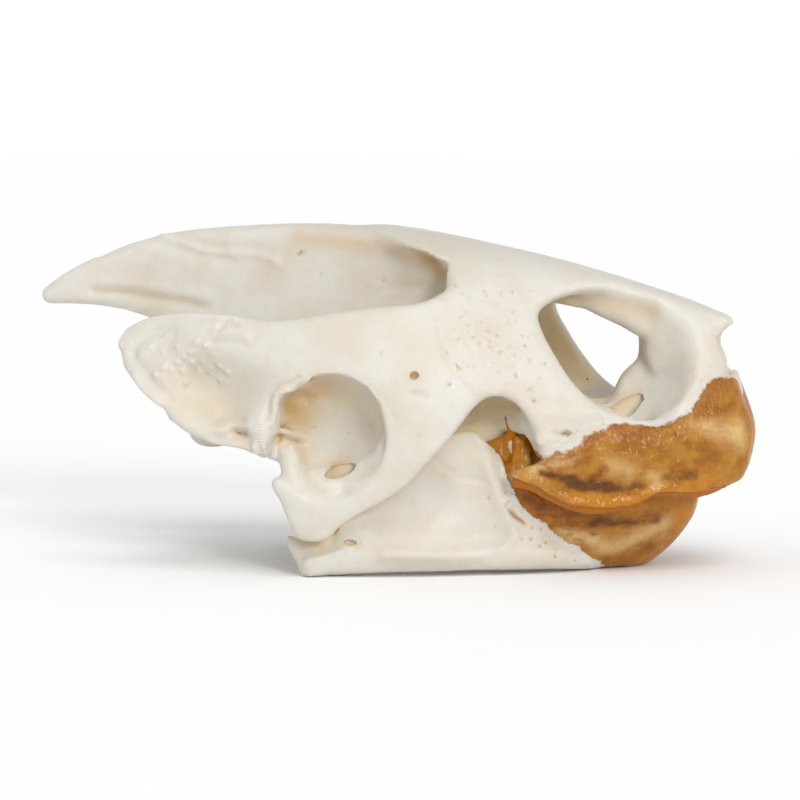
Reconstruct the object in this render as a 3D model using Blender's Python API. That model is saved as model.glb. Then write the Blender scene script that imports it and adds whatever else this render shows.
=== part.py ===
"""Skull of a large pond turtle, resting on its closed lower jaw.

Four grown pieces: the cranium and the mandible, both of bone, and the horny sheath on each.
+X points to the beak, +Z up and -Y to the right side of the animal. The floor is at Z = 0.
Lengths in the tables below are millimetres, and MM turns them into Blender's metres.
"""

import math

import bmesh
import bpy
from mathutils import Matrix, Vector

MM = 0.001

# Driving dimensions
WALL = 2.0
SHEATH_PROUD = 0.35
SHEATH_DEEP = 0.75
PIECE_GAP = 0.3
BED_GAP = 0.42
REACH = 30.0
LEAST_HALF_WIDTH = 0.05

# Half sections of the head form, from the middle of the roof down the right cheek: (y, z)
HEAD_SECTIONS = {
    -34.0: [(0, 36.0), (6.0, 35.0), (11.0, 32.0), (14.5, 27.0), (16.5, 20.0), (16.0, 10.0), (15.0, -6.0)],
    -26.0: [(0, 37.0), (7.0, 36.0), (13.0, 32.5), (17.0, 27.5), (19.0, 20.0), (18.5, 10.0), (17.0, -6.0)],
    -17.0: [(0, 37.6), (7.0, 37.0), (14.0, 33.5), (18.8, 28.0), (20.6, 19.0), (19.6, 9.0), (18.0, -6.0)],
    -8.0: [(0, 38.1), (7.0, 37.6), (14.0, 34.5), (19.5, 28.5), (21.2, 18.0), (20.0, 8.0), (18.0, -6.0)],
    0.0: [(0, 37.9), (6.5, 37.5), (13.5, 35.2), (18.8, 28.5), (20.6, 18.0), (19.4, 8.0), (17.5, -6.0)],
    7.0: [(0, 36.5), (6.0, 36.2), (12.3, 34.4), (17.2, 27.5), (19.2, 18.0), (18.2, 8.0), (16.5, -6.0)],
    13.0: [(0, 35.2), (5.0, 35.0), (10.0, 33.4), (14.8, 26.5), (17.4, 18.0), (16.0, 8.0), (14.5, -6.0)],
    18.0: [(0, 34.0), (4.0, 33.9), (7.6, 32.8), (12.3, 25.5), (15.6, 17.0), (14.4, 8.0), (13.0, -6.0)],
    24.0: [(0, 32.4), (3.4, 32.3), (6.2, 31.6), (10.0, 24.5), (13.4, 16.0), (12.8, 8.0), (11.5, -6.0)],
    30.0: [(0, 30.6), (3.2, 30.4), (5.6, 29.5), (8.4, 23.5), (11.2, 15.5), (10.9, 8.0), (9.8, -6.0)],
    35.0: [(0, 29.3), (2.8, 29.1), (4.8, 27.8), (6.4, 22.8), (8.4, 15.0), (8.3, 8.0), (7.2, -6.0)],
    39.4: [(0, 28.2), (2.0, 28.0), (3.5, 26.6), (4.4, 22.5), (5.4, 15.0), (5.2, 8.0), (4.5, -6.0)],
    43.3: [(0, 27.6), (1.0, 27.3), (1.8, 26.2), (2.2, 22.3), (2.8, 15.4), (2.6, 8.0), (2.2, -6.0)],
}
HEAD_LEAN = (-5.0, -5.1, -5.5, -6.0, -0.2, -4.4, -9.0)
HEAD_LEAN_FROM = 28.0
HEAD_LEAN_TO = 43.3

# Side outlines of the cranium: (x, z)
CRANIUM_SIDE = [
    (44, 30), (42, 46), (-23, 46), (-25.0, 31), (-27.4, 27.6), (-28.3, 25.5), (-27.2, 22.3),
    (-24.5, 19.0), (-22.2, 17.3), (-20.6, 16.0), (-17.0, 14.4), (-14.0, 14.1), (-11.6, 13.2),
    (-10.4, 14.6), (-9.6, 13.4), (-9.6, 11.6), (-11.2, 10.8), (-10.0, 8.6), (-9.0, 6.0),
    (-8.3, 4.5), (-6.6, 3.9), (-4.6, 4.4), (-3.6, 5.6), (-1.2, 7.3), (2.1, 8.9), (4.4, 10.8),
    (6.5, 13.3), (8.7, 15.6), (10.1, 17.6), (11.3, 19.2), (12.8, 19.9), (14.5, 19.4),
    (16.0, 18.0), (17.0, 16.0), (17.3, 13.8), (16.8, 11.8), (17.8, 10.6), (21.0, 9.9),
    (25.0, 9.6), (30.0, 9.9), (35.0, 10.4), (39.0, 11.0), (43, 16),
]
ORBIT_SIDE = [
    (16.9, 28.6), (17.2, 27.4), (18.6, 24.8), (20.8, 21.4), (23.0, 19.3), (24.9, 18.0),
    (27.3, 17.2), (30.5, 17.2), (33.5, 18.4), (35.6, 21.5), (35.6, 25.0), (33.6, 27.6),
    (29.6, 29.6), (25.7, 30.8), (22.0, 31.4), (19.2, 31.2), (17.3, 30.2),
]
ORBIT_SCOOP = {"centre": (25.4, -13.0, 24.2), "radii": (10.4, 12.2, 8.8)}
TEMPLE_SIDE = [
    (9.3, 46), (9.3, 35.0), (8.9, 33.2), (7.2, 31.0), (4.6, 29.8), (0.0, 29.5), (-4.0, 29.1),
    (-9.8, 28.0), (-15.2, 28.4), (-20.2, 28.8), (-24.0, 28.2), (-26.8, 27.0), (-28.6, 25.6),
    (-32.0, 24.5), (-45, 24), (-45, 46),
]
TEMPLE_TOP = [
    (-45, 0.0), (-3.6, 0.0), (-2.4, 3.0), (1.0, 7.0), (5.0, 10.2), (8.6, 12.8), (10.2, 14.6),
    (10.6, 17.0), (10.4, 26), (-45, 26),
]

# Sections of the crest and braincase: x, (half width, z) from top to bottom
CREST_SECTIONS = [
    (-40.4, [(0.4, 30.3), (0.5, 30.0), (0.5, 29.6), (0.5, 29.2), (0.4, 28.9)]),
    (-38.6, [(0.7, 31.8), (0.8, 31.0), (0.7, 30.0), (0.9, 29.0), (0.6, 28.4)]),
    (-34.8, [(0.9, 33.9), (1.0, 32.6), (0.8, 31.0), (1.0, 29.4), (0.7, 28.1)]),
    (-30.0, [(1.0, 35.9), (1.3, 34.4), (0.9, 32.0), (0.9, 29.6), (0.8, 27.4)]),
    (-25.0, [(1.2, 37.0), (1.6, 35.2), (1.2, 32.0), (1.3, 28.6), (1.3, 25.6)]),
    (-19.5, [(1.4, 37.5), (2.0, 35.0), (2.2, 31.0), (3.6, 27.0), (4.6, 22.6)]),
    (-13.0, [(1.8, 38.0), (2.4, 35.0), (3.4, 30.6), (5.8, 25.0), (6.2, 14.0)]),
    (-5.0, [(3.0, 38.0), (3.8, 35.4), (4.8, 30.6), (6.2, 24.0), (6.4, 13.6)]),
    (2.0, [(7.0, 36.6), (5.8, 34.0), (5.6, 29.6), (6.2, 23.0), (6.6, 13.8)]),
    (9.0, [(9.6, 34.6), (7.4, 32.4), (6.4, 28.0), (6.6, 22.0), (6.8, 14.4)]),
    (13.0, [(8.0, 33.4), (6.6, 31.6), (5.6, 28.0), (5.8, 21.0), (6.2, 15.2)]),
]

# Plates seen from above, right half: (x, y)
PALATE_TOP = [
    (38, 0), (37.6, 3), (34.5, 8), (29, 10.8), (23, 13), (17.5, 14.6), (15, 12.5), (12.5, 9), (10, 7),
    (9, 0),
]
PALATE_Z = (15.4, 18.4)
PTERYGOID_TOP = [
    (15, 0), (14.6, 6.4), (12, 8.4), (9.4, 9.2), (7, 8.6), (3, 8.0), (-3, 8.4), (-8, 10.4), (-12, 11),
    (-16, 8), (-19, 3), (-19, 0),
]
PTERYGOID_Z = (13.2, 15.8)
FRONTAL_RIDGE_SIDE = [
    (11, 32.4), (14, 30.0), (18.5, 28.9), (22.9, 27.9), (26.2, 26.4), (28.2, 24.8), (31, 25), (31, 29),
    (20, 32),
]
FRONTAL_RIDGE_Y = (-4.1, -2.5)

# Rounded masses on the right side: centre and radii
RIGHT_LOBES = {
    "otic": ((-9.5, -10.5, 20.4), (9.2, 8.4, 5.6)),
    "opisthotic": ((-17.2, -10.5, 17.4), (3.6, 8.8, 2.9)),
    "squamosal": ((-17.6, -16.4, 21.8), (9.8, 3.2, 5.8)),
    "quadrate": ((-4.8, -14.4, 15.6), (7.7, 6.7, 8.0)),
    "condyle": ((-6.9, -15.8, 6.4), (2.1, 4.0, 2.6)),
    "exoccipital": ((-18.6, -4.2, 17.0), (2.8, 3.4, 3.6)),
}
VOMER = ((28.8, 0, 19.0), (4.4, 5.4, 4.0))
# Rods of bone on the right side: (point, radius) along each
RIGHT_RODS = {
    "quadrate_column": [((-6.8, -16.2, 6.6), 2.2), ((-7.0, -14.2, 12.0), 2.7), ((-7.5, -12.0, 17.0), 3.4)],
    "quadrate_foot": [((-5.6, -13.4, 9.0), 2.0), ((-2.4, -10.0, 13.0), 1.9), ((2.0, -8.0, 14.6), 1.6)],
    "alveolar_edge": [
        ((19.2, -11.7, 12.6), 1.6), ((21.6, -11.0, 12.5), 1.8), ((25.5, -9.4, 12.4), 1.9),
        ((30.0, -7.5, 12.5), 2.0), ((34.0, -4.9, 12.8), 2.0), ((36.0, -2.4, 13.0), 1.9),
        ((36.6, 0.0, 13.1), 1.9),
    ],
    "pterygoid_flange": [((12.6, -7.6, 15.2), 1.4), ((9.2, -8.4, 14.0), 1.3)],
    "basal_tubercle": [((-10.0, -2.2, 14.4), 1.4), ((-15.0, -3.4, 14.0), 1.9), ((-17.6, -3.6, 14.4), 1.6)],
}
BASAL_RIDGE = [
    ((13.0, 0, 14.4), 1.0), ((0.0, 0, 14.0), 1.2), ((-10.0, 0, 14.4), 1.6), ((-18.0, 0, 15.0), 2.2),
]
OCCIPITAL_CONDYLE = ((-21.0, 0, 14.4), (2.9, 2.5, 2.3))

# Hollows carved from the right side of the cranium
RIGHT_HOLLOWS = {
    "ear": ((-4.7, -18.6, 15.5), (6.3, 8.4, 6.6)),
    "antrum": ((-9.6, -15.6, 19.4), (5.6, 3.0, 3.4)),
    "squamosal_dish": ((-17.8, -24.7, 21.2), (11.0, 6.5, 7.6)),
    "antorbital_slope": ((33.6, -12.6, 23.4), (5.6, 6.7, 6.0)),
    "palatine_foramen": ((26.6, -7.6, 17.0), (2.9, 1.5, 4.0)),
    "choana": ((20.6, -3.2, 15.4), (3.4, 1.6, 6.0)),
    "pterygoid_trough": ((-1.0, -5.4, 11.9), (10.5, 3.4, 2.5)),
}
BRAIN_TUNNEL = [
    ((-26, 0, 17.6), 2.7), ((-19, 0, 18.4), 2.9), ((-12, 0, 20.4), 4.0), ((0, 0, 21.6), 4.2),
    ((16, 0, 22.6), 4.4),
]
NOSTRIL_TUNNEL = [((43, 0, 24.2), 2.9), ((36, 0, 23.9), 2.8), ((31.8, 0, 23.9), 1.5)]
NASAL_PASSAGE = [
    ((34.0, 0, 22.6), 1.6), ((30.0, 0, 19.2), 1.4), ((26.0, 0, 16.2), 1.4), ((24.0, 0, 12.5), 1.4),
]
HOLLOW_TO_X = 30.0

# Outline of the upper sheath seen from the side
UPPER_SHEATH_SIDE = [
    (14.6, 10.8), (14.8, 12.0), (16.0, 12.8), (17.2, 13.0), (18.6, 13.8), (20.3, 14.5), (21.7, 15.8),
    (24.2, 16.5), (28.3, 16.4), (31.6, 16.9), (33.7, 18.1), (35.1, 19.3), (36.2, 20.8),
    (37.4, 21.8), (39.5, 22.3), (43, 21.5), (44, 15), (42, 10.5), (38.2, 9.6), (36.0, 8.5),
    (34.2, 8.1), (32.1, 8.3), (29.6, 8.6), (27.3, 7.5), (24.8, 6.8), (22.3, 6.8), (19.8, 7.7),
    (18.0, 8.6), (16.6, 9.5), (15.4, 9.7), (14.7, 10.0),
]
UPPER_LINING_SIDE = [(15.0, 5.0), (44.0, 5.0), (44.0, 12.4), (16.5, 12.4)]

# Half sections of the lower jaw form: (y, z)
JAW_SECTIONS = {
    -24.0: [(0, 24.0), (14.4, 24.0), (15.6, 13.0), (15.8, 8.0), (15.4, 3.5), (13.0, -1.4)],
    -6.0: [(0, 24.0), (15.0, 24.0), (16.2, 13.0), (16.9, 8.0), (16.6, 3.5), (14.0, -1.4)],
    1.0: [(0, 24.0), (14.6, 24.0), (15.8, 13.0), (16.5, 8.0), (16.3, 3.5), (13.8, -1.4)],
    7.0: [(0, 24.0), (13.6, 24.0), (14.8, 13.0), (15.4, 8.0), (15.2, 3.5), (12.6, -1.4)],
    13.0: [(0, 24.0), (11.6, 24.0), (12.6, 13.0), (12.9, 8.0), (12.7, 3.5), (10.4, -1.4)],
    18.0: [(0, 24.0), (10.0, 24.0), (10.8, 13.0), (11.1, 8.0), (10.6, 3.5), (8.2, -1.4)],
    23.0: [(0, 24.0), (8.0, 24.0), (8.6, 13.0), (8.9, 8.0), (8.2, 3.5), (5.6, -1.2)],
    27.0: [(0, 24.0), (6.2, 24.0), (6.7, 13.0), (6.9, 8.0), (5.9, 3.6), (3.4, -0.6)],
    30.2: [(0, 24.0), (4.6, 24.0), (4.9, 13.0), (5.0, 8.6), (4.0, 5.0), (2.2, 1.4)],
    32.4: [(0, 24.0), (3.0, 24.0), (3.3, 13.6), (3.4, 10.0), (2.6, 7.2), (1.6, 4.2)],
    34.2: [(0, 24.0), (1.7, 24.0), (1.9, 15.0), (2.0, 12.0), (1.8, 9.4), (1.4, 6.8)],
}
JAW_HOLLOW_TO_X = 24.0
JAW_HOLLOW_STRETCH = 1.8
JAW_HOLLOW_MIDDLE = 10.0
JAW_WALL = 2.7
JAW_SIDE = [
    (-10.2, 4.7), (-10.0, 3.4), (-9.4, 2.2), (-8.2, 1.3), (-4.0, 1.2), (3.0, 1.2),
    (9.0, 1.2), (16.0, 1.2), (20.0, 0.7), (23.0, -0.8), (28, -3), (37, -3), (37, 8.6), (32.0, 8.2),
    (27.0, 7.6), (22.0, 7.6), (17.7, 8.6), (15.7, 10.4), (14.4, 12.6), (13.2, 14.7), (12.2, 15.6),
    (10.8, 15.9), (8.6, 16.0), (7.0, 15.4), (4.6, 13.2), (2.2, 10.8), (0.0, 9.2), (-1.6, 8.2),
    (-3.2, 7.1), (-4.0, 6.2), (-4.3, 5.1), (-4.5, 4.2), (-5.4, 3.5), (-8.2, 3.4), (-9.1, 4.4),
]
JAW_HOLLOW = ((5.2, -21.2, 8.8), (13.0, 7.2, 8.0))
JAW_RODS = {
    "articular": [((-7.0, -15.6, 1.7), 1.9), ((-5.0, -13.6, 1.8), 1.8)],
    "lower_border": [
        ((-7.2, -15.0, 1.8), 2.0), ((0.0, -14.7, 2.3), 2.0), ((7.0, -13.5, 2.4), 2.0),
        ((13.0, -11.3, 2.4), 2.0), ((18.6, -8.8, 2.2), 2.0), ((23.6, -5.2, 1.9), 2.0),
    ],
}

# Outline of the lower sheath seen from the side
LOWER_SHEATH_SIDE = [
    (12.7, 14.0), (13.2, 15.5), (13.7, 17.2), (14.2, 15.9), (15.2, 15.2), (16.5, 14.9), (16.7, 13.0),
    (16.6, 11.0), (17.6, 9.2), (22.0, 8.7), (27.0, 8.8), (31.0, 9.1), (33.4, 9.8), (36.5, 10), (37, 4), (30, -2),
    (25.0, -0.35), (24.0, -0.1), (22.9, 1.3), (20.2, 3.2), (17.4, 6.0), (15.8, 7.5), (14.7, 9.2),
    (14.1, 10.6), (13.7, 12.0), (13.2, 13.1),
]
DENTARY_EDGE = [
    ((15.6, -9.6, 7.2), 1.1), ((19.0, -8.4, 6.4), 1.2), ((24.0, -6.1, 6.0), 1.3),
    ((27.6, -3.8, 6.0), 1.4), ((29.4, -1.8, 6.0), 1.4), ((29.8, 0, 6.0), 1.4),
]
LOWER_LINING_SIDE = [(14.4, 7.4), (18.0, 6.8), (24.0, 6.5), (36.0, 6.5), (36.0, 14.0), (14.4, 14.0)]
LINING_THICK = 0.8

# Mesh fineness: voxel size in millimetres, smoothing passes, triangles kept
FINENESS = {
    "cranium": (0.5, 6, 5900),
    "mandible": (0.45, 6, 1300),
    "upper_beak_sheath": (0.34, 4, 1500),
    "lower_beak_sheath": (0.34, 4, 1100),
}
FLOOR_CUT = 6.0


def clear_scene():
    for old in list(bpy.data.objects):
        bpy.data.objects.remove(old, do_unlink=True)


def add_object(name, bm):
    """Turns a bmesh in millimetres into an object of its own."""
    mesh = bpy.data.meshes.new(name)
    bmesh.ops.recalc_face_normals(bm, faces=bm.faces)
    bm.to_mesh(mesh)
    bm.free()
    made = bpy.data.objects.new(name, mesh)
    bpy.context.scene.collection.objects.link(made)
    return made


def smooth_loop(points, steps=4):
    """A closed outline through the given corners, rounded by a centripetal curve."""
    corners = [Vector((*p, 0)) if len(p) == 2 else Vector(p) for p in points]
    count = len(corners)
    rounded = []
    for i in range(count):
        a, b, c, d = (corners[(i + k) % count] for k in (-1, 0, 1, 2))
        span = (c - b).length
        into = (c - a).normalized() * span / 3
        out = (d - b).normalized() * span / 3
        for k in range(steps):
            t = k / steps
            s = 1 - t
            rounded.append(s**3 * b + 3 * s * s * t * (b + into) + 3 * s * t * t * (c - out) + t**3 * c)
    return [tuple(p[:2]) for p in rounded]


def prism(name, outline, axis, low, high):
    """A slab with the given outline. Axis Y takes (x, z) corners, and axis Z takes (x, y) corners."""
    bm = bmesh.new()
    place = {"Y": lambda a, b, h: (a, h, b), "Z": lambda a, b, h: (a, b, h)}[axis]
    bottom = [bm.verts.new(place(a, b, low)) for a, b in outline]
    face = bm.faces.new(bottom)
    grown = bmesh.ops.extrude_face_region(bm, geom=[face])
    moved = [v for v in grown["geom"] if isinstance(v, bmesh.types.BMVert)]
    step = Vector(place(0, 0, high)) - Vector(place(0, 0, low))
    bmesh.ops.translate(bm, verts=moved, vec=step)
    bmesh.ops.triangulate(bm, faces=[f for f in bm.faces if len(f.verts) > 4])
    return add_object(name, bm)


def lobe(name, centre, radii):
    bm = bmesh.new()
    bmesh.ops.create_icosphere(bm, subdivisions=4, radius=1.0)
    bmesh.ops.scale(bm, vec=radii, verts=bm.verts)
    bmesh.ops.translate(bm, vec=centre, verts=bm.verts)
    return add_object(name, bm)


def curve_through(path, steps):
    """Points with radii along one smooth curve through the path's own points."""
    points = [Vector(p) for p, r in path]
    radii = [r for p, r in path]
    line = []
    for i in range(len(points) - 1):
        a, b = points[i], points[i + 1]
        slope_a = (b - points[max(i - 1, 0)]) / 2
        slope_b = (points[min(i + 2, len(points) - 1)] - a) / 2
        for k in range(steps):
            t = k / steps
            start, end = 2 * t**3 - 3 * t**2 + 1, 3 * t**2 - 2 * t**3
            spot = start * a + (t**3 - 2 * t**2 + t) * slope_a + end * b + (t**3 - t**2) * slope_b
            line.append((spot, radii[i] + (radii[i + 1] - radii[i]) * t))
    line.append((points[-1], radii[-1]))
    return line


def rod(name, path, sides=14, steps=5):
    """A round bar through the path's points, each with its own radius, with domed ends."""
    line = curve_through(path, steps)
    bm = bmesh.new()
    rings = []
    for i, (spot, radius) in enumerate(line):
        ahead = line[min(i + 1, len(line) - 1)][0] - line[max(i - 1, 0)][0]
        frame = ahead.to_track_quat("Z", "Y").to_matrix()
        ring = []
        for s in range(sides):
            angle = 2 * math.pi * s / sides
            ring.append(bm.verts.new(spot + frame @ Vector((math.cos(angle), math.sin(angle), 0)) * radius))
        rings.append(ring)
    for one, two in zip(rings, rings[1:]):
        for s in range(sides):
            bm.faces.new((one[s], one[(s + 1) % sides], two[(s + 1) % sides], two[s]))
    for ring, end, inner in ((rings[0], line[0], line[1]), (rings[-1], line[-1], line[-2])):
        cap = bm.faces.new(ring)
        bmesh.ops.inset_region(bm, faces=[cap], thickness=end[1] * 0.35)
        outward = (end[0] - inner[0]).normalized()
        bmesh.ops.translate(bm, verts=cap.verts, vec=outward * end[1] * 0.6)
    return add_object(name, bm)


def loft(name, rings, rounds=2):
    """A closed skin over rings of equal count, rounded by subdivision."""
    bm = bmesh.new()
    rows = [[bm.verts.new(p) for p in ring] for ring in rings]
    count = len(rings[0])
    for one, two in zip(rows, rows[1:]):
        for s in range(count):
            bm.faces.new((one[s], one[(s + 1) % count], two[(s + 1) % count], two[s]))
    bm.faces.new(rows[0])
    bm.faces.new(rows[-1])
    made = add_object(name, bm)
    skin = made.modifiers.new("round", "SUBSURF")
    skin.levels = skin.render_levels = rounds
    return settle(made)


def rings_of(sections, lean):
    """Mirrored rings from half sections. The lean moves the points of each height along X, by station."""
    rings = []
    for x, half in sections.items():
        right = [(x + lean(x, i), -y, z) for i, (y, z) in enumerate(half)]
        left = [(px, -py, pz) for px, py, pz in right[1:]]
        rings.append(right + left[::-1])
    return rings


def settle(made):
    """Replaces an object's mesh by what its modifiers make of it."""
    graph = bpy.context.evaluated_depsgraph_get()
    mesh = bpy.data.meshes.new_from_object(made.evaluated_get(graph))
    made.modifiers.clear()
    old = made.data
    made.data = mesh
    bpy.data.meshes.remove(old)
    return made


def boolean(target, other, operation):
    """Cuts, joins or intersects target with other, which is then thrown away."""
    step = target.modifiers.new(operation, "BOOLEAN")
    step.operation = operation
    step.object = other
    bpy.context.view_layer.update()
    settle(target)
    bpy.data.objects.remove(other, do_unlink=True)
    return target


def offset(made, distance):
    """A copy of a closed form with its skin moved out by distance, or in if it is negative.

    A narrow prow would turn inside out if its two sides passed each other, so they stop at the middle.
    """
    twin = made.copy()
    twin.data = made.data.copy()
    bpy.context.scene.collection.objects.link(twin)
    bm = bmesh.new()
    bm.from_mesh(twin.data)
    bm.normal_update()
    moved = [v.co + v.normal * distance for v in bm.verts]
    for vert, place in zip(bm.verts, moved):
        if vert.co.y * place.y < 0:
            place.y = math.copysign(LEAST_HALF_WIDTH, vert.co.y)
        vert.co = place
    bm.to_mesh(twin.data)
    bm.free()
    return twin


def mirrored(made):
    """The left-hand twin of a right-hand form."""
    twin = made.copy()
    twin.data = made.data.copy()
    bpy.context.scene.collection.objects.link(twin)
    twin.data.transform(Matrix.Diagonal((1, -1, 1, 1)))
    twin.data.flip_normals()
    return twin


def clay(name, forms, voxel):
    """Joins closed forms into one skin, as lumps of clay are pressed together."""
    bm = bmesh.new()
    for form in forms:
        bm.from_mesh(form.data)
        bpy.data.objects.remove(form, do_unlink=True)
    mesh = bpy.data.meshes.new(name)
    bm.to_mesh(mesh)
    bm.free()
    made = bpy.data.objects.new(name, mesh)
    bpy.context.scene.collection.objects.link(made)
    press = made.modifiers.new("press", "REMESH")
    press.mode = "VOXEL"
    press.voxel_size = voxel
    return settle(made)


def box(name, low, high):
    low, high = Vector(low), Vector(high)
    bm = bmesh.new()
    bmesh.ops.create_cube(bm, size=1.0)
    bmesh.ops.scale(bm, vec=high - low, verts=bm.verts)
    bmesh.ops.translate(bm, vec=(low + high) / 2, verts=bm.verts)
    return add_object(name, bm)


def both_sides(forms):
    return forms + [mirrored(form) for form in forms]


def beak_lean(x, height):
    """How far a head section leans back at one of its heights, growing towards the beak."""
    return HEAD_LEAN[height] * max(0.0, (x - HEAD_LEAN_FROM) / (HEAD_LEAN_TO - HEAD_LEAN_FROM)) ** 2


def no_lean(x, height):
    return 0.0


def head_form(front=math.inf):
    sections = {x: half for x, half in HEAD_SECTIONS.items() if x <= front}
    return loft("head_form", rings_of(sections, beak_lean))


def jaw_form(front=math.inf):
    sections = {x: half for x, half in JAW_SECTIONS.items() if x <= front}
    return loft("jaw_form", rings_of(sections, no_lean))


def inside_of(form, wall):
    """What is left of a form within its wall. The form itself is thrown away."""
    inside = offset(form, -wall)
    bpy.data.objects.remove(form, do_unlink=True)
    return inside


def copy_of(made):
    return offset(made, 0.0)


def orbit_cutter():
    window = prism("orbit_window", smooth_loop(ORBIT_SIDE), "Y", -REACH, 0.5)
    return boolean(window, lobe("orbit_scoop", **ORBIT_SCOOP), "INTERSECT")


def temple_cutter():
    side = prism("temple_side", smooth_loop(TEMPLE_SIDE), "Y", -REACH, 0.5)
    top = prism("temple_top", [(x, -y) for x, y in smooth_loop(TEMPLE_TOP)], "Z", 10, 60)
    return boolean(side, top, "INTERSECT")


def outer_wall(head):
    """The thin bony wall of the head: the head form hollowed, trimmed to its side outline and pierced."""
    wall = copy_of(head)
    boolean(wall, inside_of(head_form(HOLLOW_TO_X), WALL), "DIFFERENCE")
    boolean(wall, prism("side_trim", smooth_loop(CRANIUM_SIDE), "Y", -REACH, REACH), "INTERSECT")
    for cutter in both_sides([orbit_cutter(), temple_cutter()]):
        boolean(wall, cutter, "DIFFERENCE")
    return wall


def crest_and_braincase():
    rings = []
    for x, half in CREST_SECTIONS:
        right = [(x, -w, z) for w, z in half]
        left = [(x, w, z) for w, z in half]
        rings.append(right + left[::-1])
    return loft("crest", rings)


def plates():
    palate = prism("palate", [(x, -y) for x, y in PALATE_TOP], "Z", *PALATE_Z)
    pterygoid = prism("pterygoid", [(x, -y) for x, y in PTERYGOID_TOP], "Z", *PTERYGOID_Z)
    ridge = prism("frontal_ridge", smooth_loop(FRONTAL_RIDGE_SIDE), "Y", *FRONTAL_RIDGE_Y)
    return [palate, pterygoid, ridge]


def sheath_zone(form, side_outline):
    """The layer about a form's skin, within the side outline, that a horn sheath fills."""
    zone = offset(form, SHEATH_PROUD)
    boolean(zone, offset(form, -SHEATH_DEEP), "DIFFERENCE")
    outline = prism("sheath_outline", smooth_loop(side_outline), "Y", -REACH, REACH)
    return boolean(zone, outline, "INTERSECT")


def bed_under(sheath, voxel):
    """The sheath swollen by the gap, to be cut from the bone under it."""
    return clay("sheath_bed", [offset(sheath, BED_GAP)], voxel)


def finish(made, voxel, passes, triangles, floor=False):
    """Presses the skin once more, softens it, thins its triangles and brings it to metres."""
    press = made.modifiers.new("press", "REMESH")
    press.mode = "VOXEL"
    press.voxel_size = voxel
    soften = made.modifiers.new("soften", "SMOOTH")
    soften.factor = 0.5
    soften.iterations = passes
    settle(made)
    made.data.calc_loop_triangles()
    thin = made.modifiers.new("thin", "DECIMATE")
    thin.ratio = triangles / len(made.data.loop_triangles)
    settle(made)
    if floor:
        boolean(made, box("floor", (-60, -60, -FLOOR_CUT), (60, 60, 0)), "DIFFERENCE")
    made.data.transform(Matrix.Diagonal((MM, MM, MM, 1)))
    return made


def build_cranium(head, sheath_bed):
    forms = both_sides(
        plates()
        + [lobe(name, *shape) for name, shape in RIGHT_LOBES.items()]
        + [rod(name, path) for name, path in RIGHT_RODS.items()]
    )
    forms += [outer_wall(head), crest_and_braincase(), rod("basal_ridge", BASAL_RIDGE)]
    forms += [lobe("occipital_condyle", *OCCIPITAL_CONDYLE), lobe("vomer", *VOMER)]
    voxel, passes, triangles = FINENESS["cranium"]
    cranium = clay("cranium", forms, voxel)
    hollows = both_sides([lobe(name, *shape) for name, shape in RIGHT_HOLLOWS.items()] + [orbit_cutter()])
    hollows += [rod("brain_tunnel", BRAIN_TUNNEL), rod("nostril_tunnel", NOSTRIL_TUNNEL)]
    hollows += [rod("nasal_passage", NASAL_PASSAGE)]
    boolean(cranium, clay("hollows", hollows, voxel), "DIFFERENCE")
    boolean(cranium, sheath_bed, "DIFFERENCE")
    return finish(cranium, voxel, passes, triangles)


def lining(edge, side_outline):
    """The horn wrapped round an edge of bone: a thick rod hollowed by the rod of bone inside it."""
    skin = rod("lining", [(p, r + PIECE_GAP + LINING_THICK) for p, r in edge])
    boolean(skin, rod("bone_edge", [(p, r + PIECE_GAP) for p, r in edge]), "DIFFERENCE")
    return boolean(skin, prism("lining_keep", side_outline, "Y", -REACH, 0.2), "INTERSECT")


def build_sheath(name, form, side_outline, edge, lining_outline):
    forms = [sheath_zone(form, side_outline)] + both_sides([lining(edge, lining_outline)])
    return clay(name, forms, FINENESS[name][0])


def jaw_wall(jaw):
    wall = copy_of(jaw)
    hollow = inside_of(jaw_form(JAW_HOLLOW_TO_X), JAW_WALL)
    stretch = Matrix.Diagonal((1, 1, JAW_HOLLOW_STRETCH, 1))
    middle = Matrix.Translation((0, 0, JAW_HOLLOW_MIDDLE))
    hollow.data.transform(middle @ stretch @ middle.inverted())
    boolean(wall, hollow, "DIFFERENCE")
    return boolean(wall, prism("jaw_trim", smooth_loop(JAW_SIDE), "Y", -REACH, REACH), "INTERSECT")


def build_mandible(jaw, sheath_bed):
    voxel, passes, triangles = FINENESS["mandible"]
    rods = [rod(name, path) for name, path in JAW_RODS.items()] + [rod("dentary_edge", DENTARY_EDGE)]
    forms = both_sides(rods) + [jaw_wall(jaw)]
    mandible = clay("mandible", forms, voxel)
    for hollow in both_sides([lobe("jaw_hollow", *JAW_HOLLOW)]):
        boolean(mandible, hollow, "DIFFERENCE")
    boolean(mandible, sheath_bed, "DIFFERENCE")
    return finish(mandible, voxel, passes, triangles, floor=True)


def material(name, colour, roughness):
    made = bpy.data.materials.new(name)
    made.use_nodes = True
    shader = made.node_tree.nodes["Principled BSDF"]
    shader.inputs["Base Color"].default_value = (*colour, 1)
    shader.inputs["Roughness"].default_value = roughness
    shader.inputs["Metallic"].default_value = 0
    return made


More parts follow.
